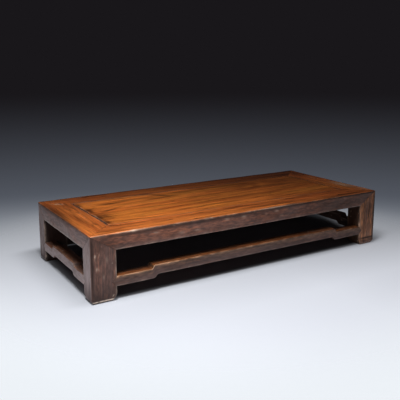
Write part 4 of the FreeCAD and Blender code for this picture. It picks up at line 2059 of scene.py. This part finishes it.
@dataclass(frozen=True)
class Lamp:
    """A rectangular soft lamp, in metres, watts and degrees.

    It faces its aim, which isn't straight below it, because that would leave its turn open. Spread is how
    widely its grid lets light fan out, and glossy is whether it shows in reflections.
    """

    name: str
    place: Place
    power: float
    aim: Place = (0.0, 0.0, 0.06)
    size: Pair = (0.7, 0.2)
    colour: str = "#F0F4FF"
    spread: float = 180.0
    glossy: bool = False

    def hang(self) -> Piece:
        """Hangs the lamp.

        Returns:
            The lamp's object.
        """
        data = bpy.data.lights.new(self.name, "AREA")
        data.shape = "RECTANGLE"
        data.size, data.size_y = self.size
        data.energy = self.power
        data.color = linear(self.colour)[:3]
        data.spread = math.radians(self.spread)
        lamp = set_down(self.name, data)
        lamp.location = self.place
        lamp.visible_glossy = self.glossy
        way = np.array(self.aim) - np.array(self.place)
        flat = math.hypot(way[0], way[1])
        lamp.rotation_euler = (math.atan2(flat, -way[2]), 0.0, math.atan2(way[1], way[0]) - math.pi / 2)
        return lamp


@dataclass
class Studio:
    """A pale floor that runs back into a dark backdrop, soft lamps and a camera, in metres and degrees."""

    camera_place: Place = (-0.5565, -0.8551, 0.3365)
    azimuth: float = -31.666
    elevation: float = 10.534
    lens: float = 52.87
    sensor: float = 36.0
    shift_y: float = -0.075
    floor_half: float = 4.0
    floor_colour: str = "#ACB3BF"
    paper_rough: float = 0.9
    paper_gloss: float = 0.1
    floor_fade: Span = Span(0.3, 0.52)
    backdrop_top: str = "#19171A"
    backdrop_foot: str = "#5C616B"
    backdrop_floor: str = "#EDF2F7"
    backdrop_fall: Span = Span(-0.05, -0.25)
    backdrop_curve: float = 1.5
    backdrop_near: Span = Span(-0.21, -0.38)
    ambient: str = "#08090A"
    # The stand's shadow on the floor, and painted light round it for rays that show the floor, stronger to
    # the front right
    shadow_left: float = -0.255
    shadow_right: float = 0.297
    shadow_lean: float = 0.3
    shadow_front: float = -0.1
    shadow_back: float = 0.156
    end_reach: float = 0.08
    side_reach: float = 0.032
    glow: float = 0.6
    glow_colour: str = "#ACAEB5"
    glow_more: float = 0.72
    glow_across: Pair = (-0.3, 0.05)
    glow_ahead: Pair = (-0.08, -0.24)
    overhead: Lamp = Lamp(
        name="overhead_box",
        place=(-0.43, -0.4, 1.0),
        power=4.8,
        aim=(-0.43, -0.39, 0.0),
        size=(0.24, 0.2),
        colour="#FFFAF4",
        spread=94.0,
        glossy=True,
    )
    fills: tuple[Lamp, ...] = (
        Lamp(name="left_fill", place=(-0.85, -0.35, 0.15), power=2.35),
        Lamp(name="front_fill", place=(-0.25, -1.0, 0.2), power=2.1),
        Lamp(name="back_fill", place=(0.3, 1.2, 0.2), power=3.2),
        Lamp(name="right_fill", place=(1.2, 0.1, 0.2), power=0.9),
    )

    def camera(self) -> None:
        """Sets up the camera at the photograph's viewing angle."""
        data = bpy.data.cameras.new("camera")
        data.lens = self.lens
        data.sensor_width = self.sensor
        data.shift_y = self.shift_y
        camera = set_down("camera", data)
        camera.location = self.camera_place
        camera.rotation_euler = (math.radians(90 - self.elevation), 0.0, math.radians(self.azimuth))
        bpy.context.scene.camera = camera

    def seen(self, tree: Tree) -> Socket:
        """Tells the rays that show a surface to the eye, straight or in a reflection, from the rest.

        Args:
            tree: the surface's node tree.

        Returns:
            One for such a ray, nought for another.
        """
        path = add(tree, "ShaderNodeLightPath", {})
        shown = path["Is Camera Ray"]
        for kind in ("Is Glossy Ray", "Is Transmission Ray"):
            shown = add(tree, MATH, {0: shown, 1: path[kind]}, operation="MAXIMUM")[0]
        return shown

    def past_shadow(self, tree: Tree, x: Socket, y: Socket) -> Socket:
        """How far out of the stand's shadow a floor point lies; the shadow's right side leans to the back.

        The gaps past its ends and sides, each divided by the reach of the soft edge there, are taken
        together as the length of a vector.

        Args:
            tree: the floor's node tree.
            x: the point's place along the stand, in metres.
            y: its place across the stand.

        Returns:
            Nought inside the shadow, one where its soft edge ends.
        """
        leant = add(tree, MATH, {0: y, 1: -self.shadow_lean, 2: x}, operation="MULTIPLY_ADD")[0]
        gaps = []
        for low_way, low, high_way, high, reach in (
                (x, self.shadow_left, leant, self.shadow_right, self.end_reach),
                (y, self.shadow_front, y, self.shadow_back, self.side_reach)):
            under = add(tree, MATH, {0: low, 1: low_way}, operation="SUBTRACT")[0]
            over = add(tree, MATH, {0: high_way, 1: high}, operation="SUBTRACT")[0]
            gap = add(tree, MATH, {0: under, 1: over}, operation="MAXIMUM")[0]
            gap = add(tree, MATH, {0: gap, 1: 0.0}, operation="MAXIMUM")[0]
            gaps.append(add(tree, MATH, {0: gap, 1: reach}, operation="DIVIDE")[0])
        flat = add(tree, "ShaderNodeCombineXYZ", {0: gaps[0], 1: gaps[1]})[0]
        return add(tree, VECTOR_MATH, {0: flat}, operation="LENGTH")["Value"]

    def painted_floor_light(self, tree: Tree, spot: Socket) -> Socket:
        """Painted light on the floor for rays that show it: none in the stand's shadow, more at the front
        right.

        Args:
            tree: the floor's node tree.
            spot: the point, in metres.

        Returns:
            The colour's strength.
        """
        ways = add(tree, SPLIT, {0: spot})
        past = Span(0.0, 1.0, last=self.glow).of(self.past_shadow(tree, ways["X"], ways["Y"]))
        strength = add(tree, RANGE, past, interpolation_type="SMOOTHSTEP")[0]
        lift: float | Socket = self.glow_more
        for way, ends in ((ways["X"], self.glow_across), (ways["Y"], self.glow_ahead)):
            lift = add(tree, RANGE, Span(*ends, last=lift).of(way))[0]
        lift = add(tree, MATH, {0: lift, 1: 1.0}, operation="ADD")[0]
        for factor in (self.seen(tree), lift):
            strength = add(tree, MATH, {0: strength, 1: factor}, operation="MULTIPLY")[0]
        return strength

    def paper(self) -> Material:
        """Matt paper, pale and without gloss, which clears away from the stand so that the backdrop shows.
        For rays that show it, it glows with painted light round the stand's shadow, more towards the front
        right.

        Returns:
            The material.
        """
        made = bpy.data.materials.new("matt_paper_floor")
        made.use_nodes = True
        tree = made.node_tree
        tree.nodes.clear()
        spot = add(tree, "ShaderNodeTexCoord", {})["Object"]
        away = add(tree, VECTOR_MATH, {0: spot}, operation="LENGTH")["Value"]
        fade = add(tree, RANGE, self.floor_fade.of(away), interpolation_type="SMOOTHSTEP")[0]
        paper = add(tree, PRINCIPLED, {
            "Base Color": linear(self.floor_colour),
            "Roughness": self.paper_rough,
            "Specular IOR Level": self.paper_gloss,
        })
        # painted light: the floor glows round the stand's shadow for rays that show it
        inputs = {"Color": linear(self.glow_colour), "Strength": self.painted_floor_light(tree, spot)}
        glow = add(tree, "ShaderNodeEmission", inputs)
        lit = add(tree, "ShaderNodeAddShader", {0: paper[0], 1: glow[0]})
        clear = add(tree, "ShaderNodeBsdfTransparent", {})
        shader = add(tree, "ShaderNodeMixShader", {0: fade, 1: lit[0], 2: clear[0]})
        add(tree, "ShaderNodeOutputMaterial", {"Surface": shader[0]})
        return made

    def floor(self) -> None:
        """Lays the floor: pale paper round the stand that fades into the backdrop far away."""
        half = self.floor_half
        corners = [(-half, -half, 0), (half, -half, 0), (half, half, 0), (-half, half, 0)]
        mesh = bpy.data.meshes.new("studio_floor")
        mesh.from_pydata(corners, [], [(0, 1, 2, 3)])
        mesh.materials.append(self.paper())
        floor = set_down("studio_floor", mesh)

    def backdrop(self) -> None:
        """Surrounds the stand with a dark backdrop that gives a little soft light.

        Its colour lightens downwards from the top to the foot, and on to the floor's far part.
        """
        world = bpy.data.worlds.new("studio")
        world.use_nodes = True
        tree = world.node_tree
        tree.nodes.clear()
        way = add(tree, "ShaderNodeTexCoord", {})["Generated"]
        rise = add(tree, SPLIT, {0: way})["Z"]
        fall = add(tree, RANGE, self.backdrop_fall.of(rise))[0]
        fall = add(tree, MATH, {0: fall, 1: self.backdrop_curve}, operation="POWER")[0]
        near = add(tree, RANGE, self.backdrop_near.of(rise), interpolation_type="SMOOTHSTEP")[0]
        wall: Any = linear(self.backdrop_top)
        for share, colour in ((fall, self.backdrop_foot), (near, self.backdrop_floor)):
            wall = add(tree, MIX, {SHARE: share, UNDER: wall, OVER: linear(colour)}, **RGBA)[MIXED]
        inputs = {SHARE: self.seen(tree), UNDER: linear(self.ambient), OVER: wall}
        glow = add(tree, MIX, inputs, **RGBA)[MIXED]
        shader = add(tree, "ShaderNodeBackground", {"Color": glow, "Strength": 1.0})
        add(tree, "ShaderNodeOutputWorld", {"Surface": shader[0]})
        bpy.context.scene.world = world

    def build(self) -> None:
        """Sets up the camera, floor, backdrop and overhead lamp."""
        bpy.context.scene.view_settings.view_transform = "Standard"
        self.camera()
        self.floor()
        self.backdrop()
        self.overhead.hang()

    def fill(self, pieces: Sequence[Piece]) -> None:
        """Hangs low fill lamps round the stand, flagged so that they light its pieces and not the floor.

        Args:
            pieces: the stand's pieces.
        """
        lit = bpy.data.collections.new("stand_pieces")
        for piece in pieces:
            lit.objects.link(piece)
        for lamp in self.fills:
            lamp.hang().light_linking.receiver_collection = lit


def main() -> None:
    """Builds the studio and the stand, member by member."""
    logging.basicConfig(level=logging.INFO)
    sizes = StandSizes.from_frame()
    studio = Studio()
    studio.build()
    frame_wood = OiledRosewood(
        "oiled_rosewood_frame", top_light="#F08640", top_gold="#EA8A40", figure=Span(0.66, 1.5)).material()
    panel_wood = OiledRosewood(
        "oiled_rosewood_panel", top_dark="#9A4A1A", figure=Span(0.74, 1.42), vein_strength=0.45).material()
    batten_wood = OiledRosewood("planed_rosewood_batten").material()
    pieces = [
        *TopFrame(sizes).build(frame_wood),
        *TopPanel(sizes).build(panel_wood),
        *Legs(sizes).build(frame_wood),
        *Stretchers(sizes).build(frame_wood),
        *Battens(sizes).build(batten_wood),
    ]
    for piece in pieces:
        LOG.info("%s: %d faces", piece.name, len(piece.data.polygons))
    studio.fill(pieces)


if __name__ == "__main__":
    main()
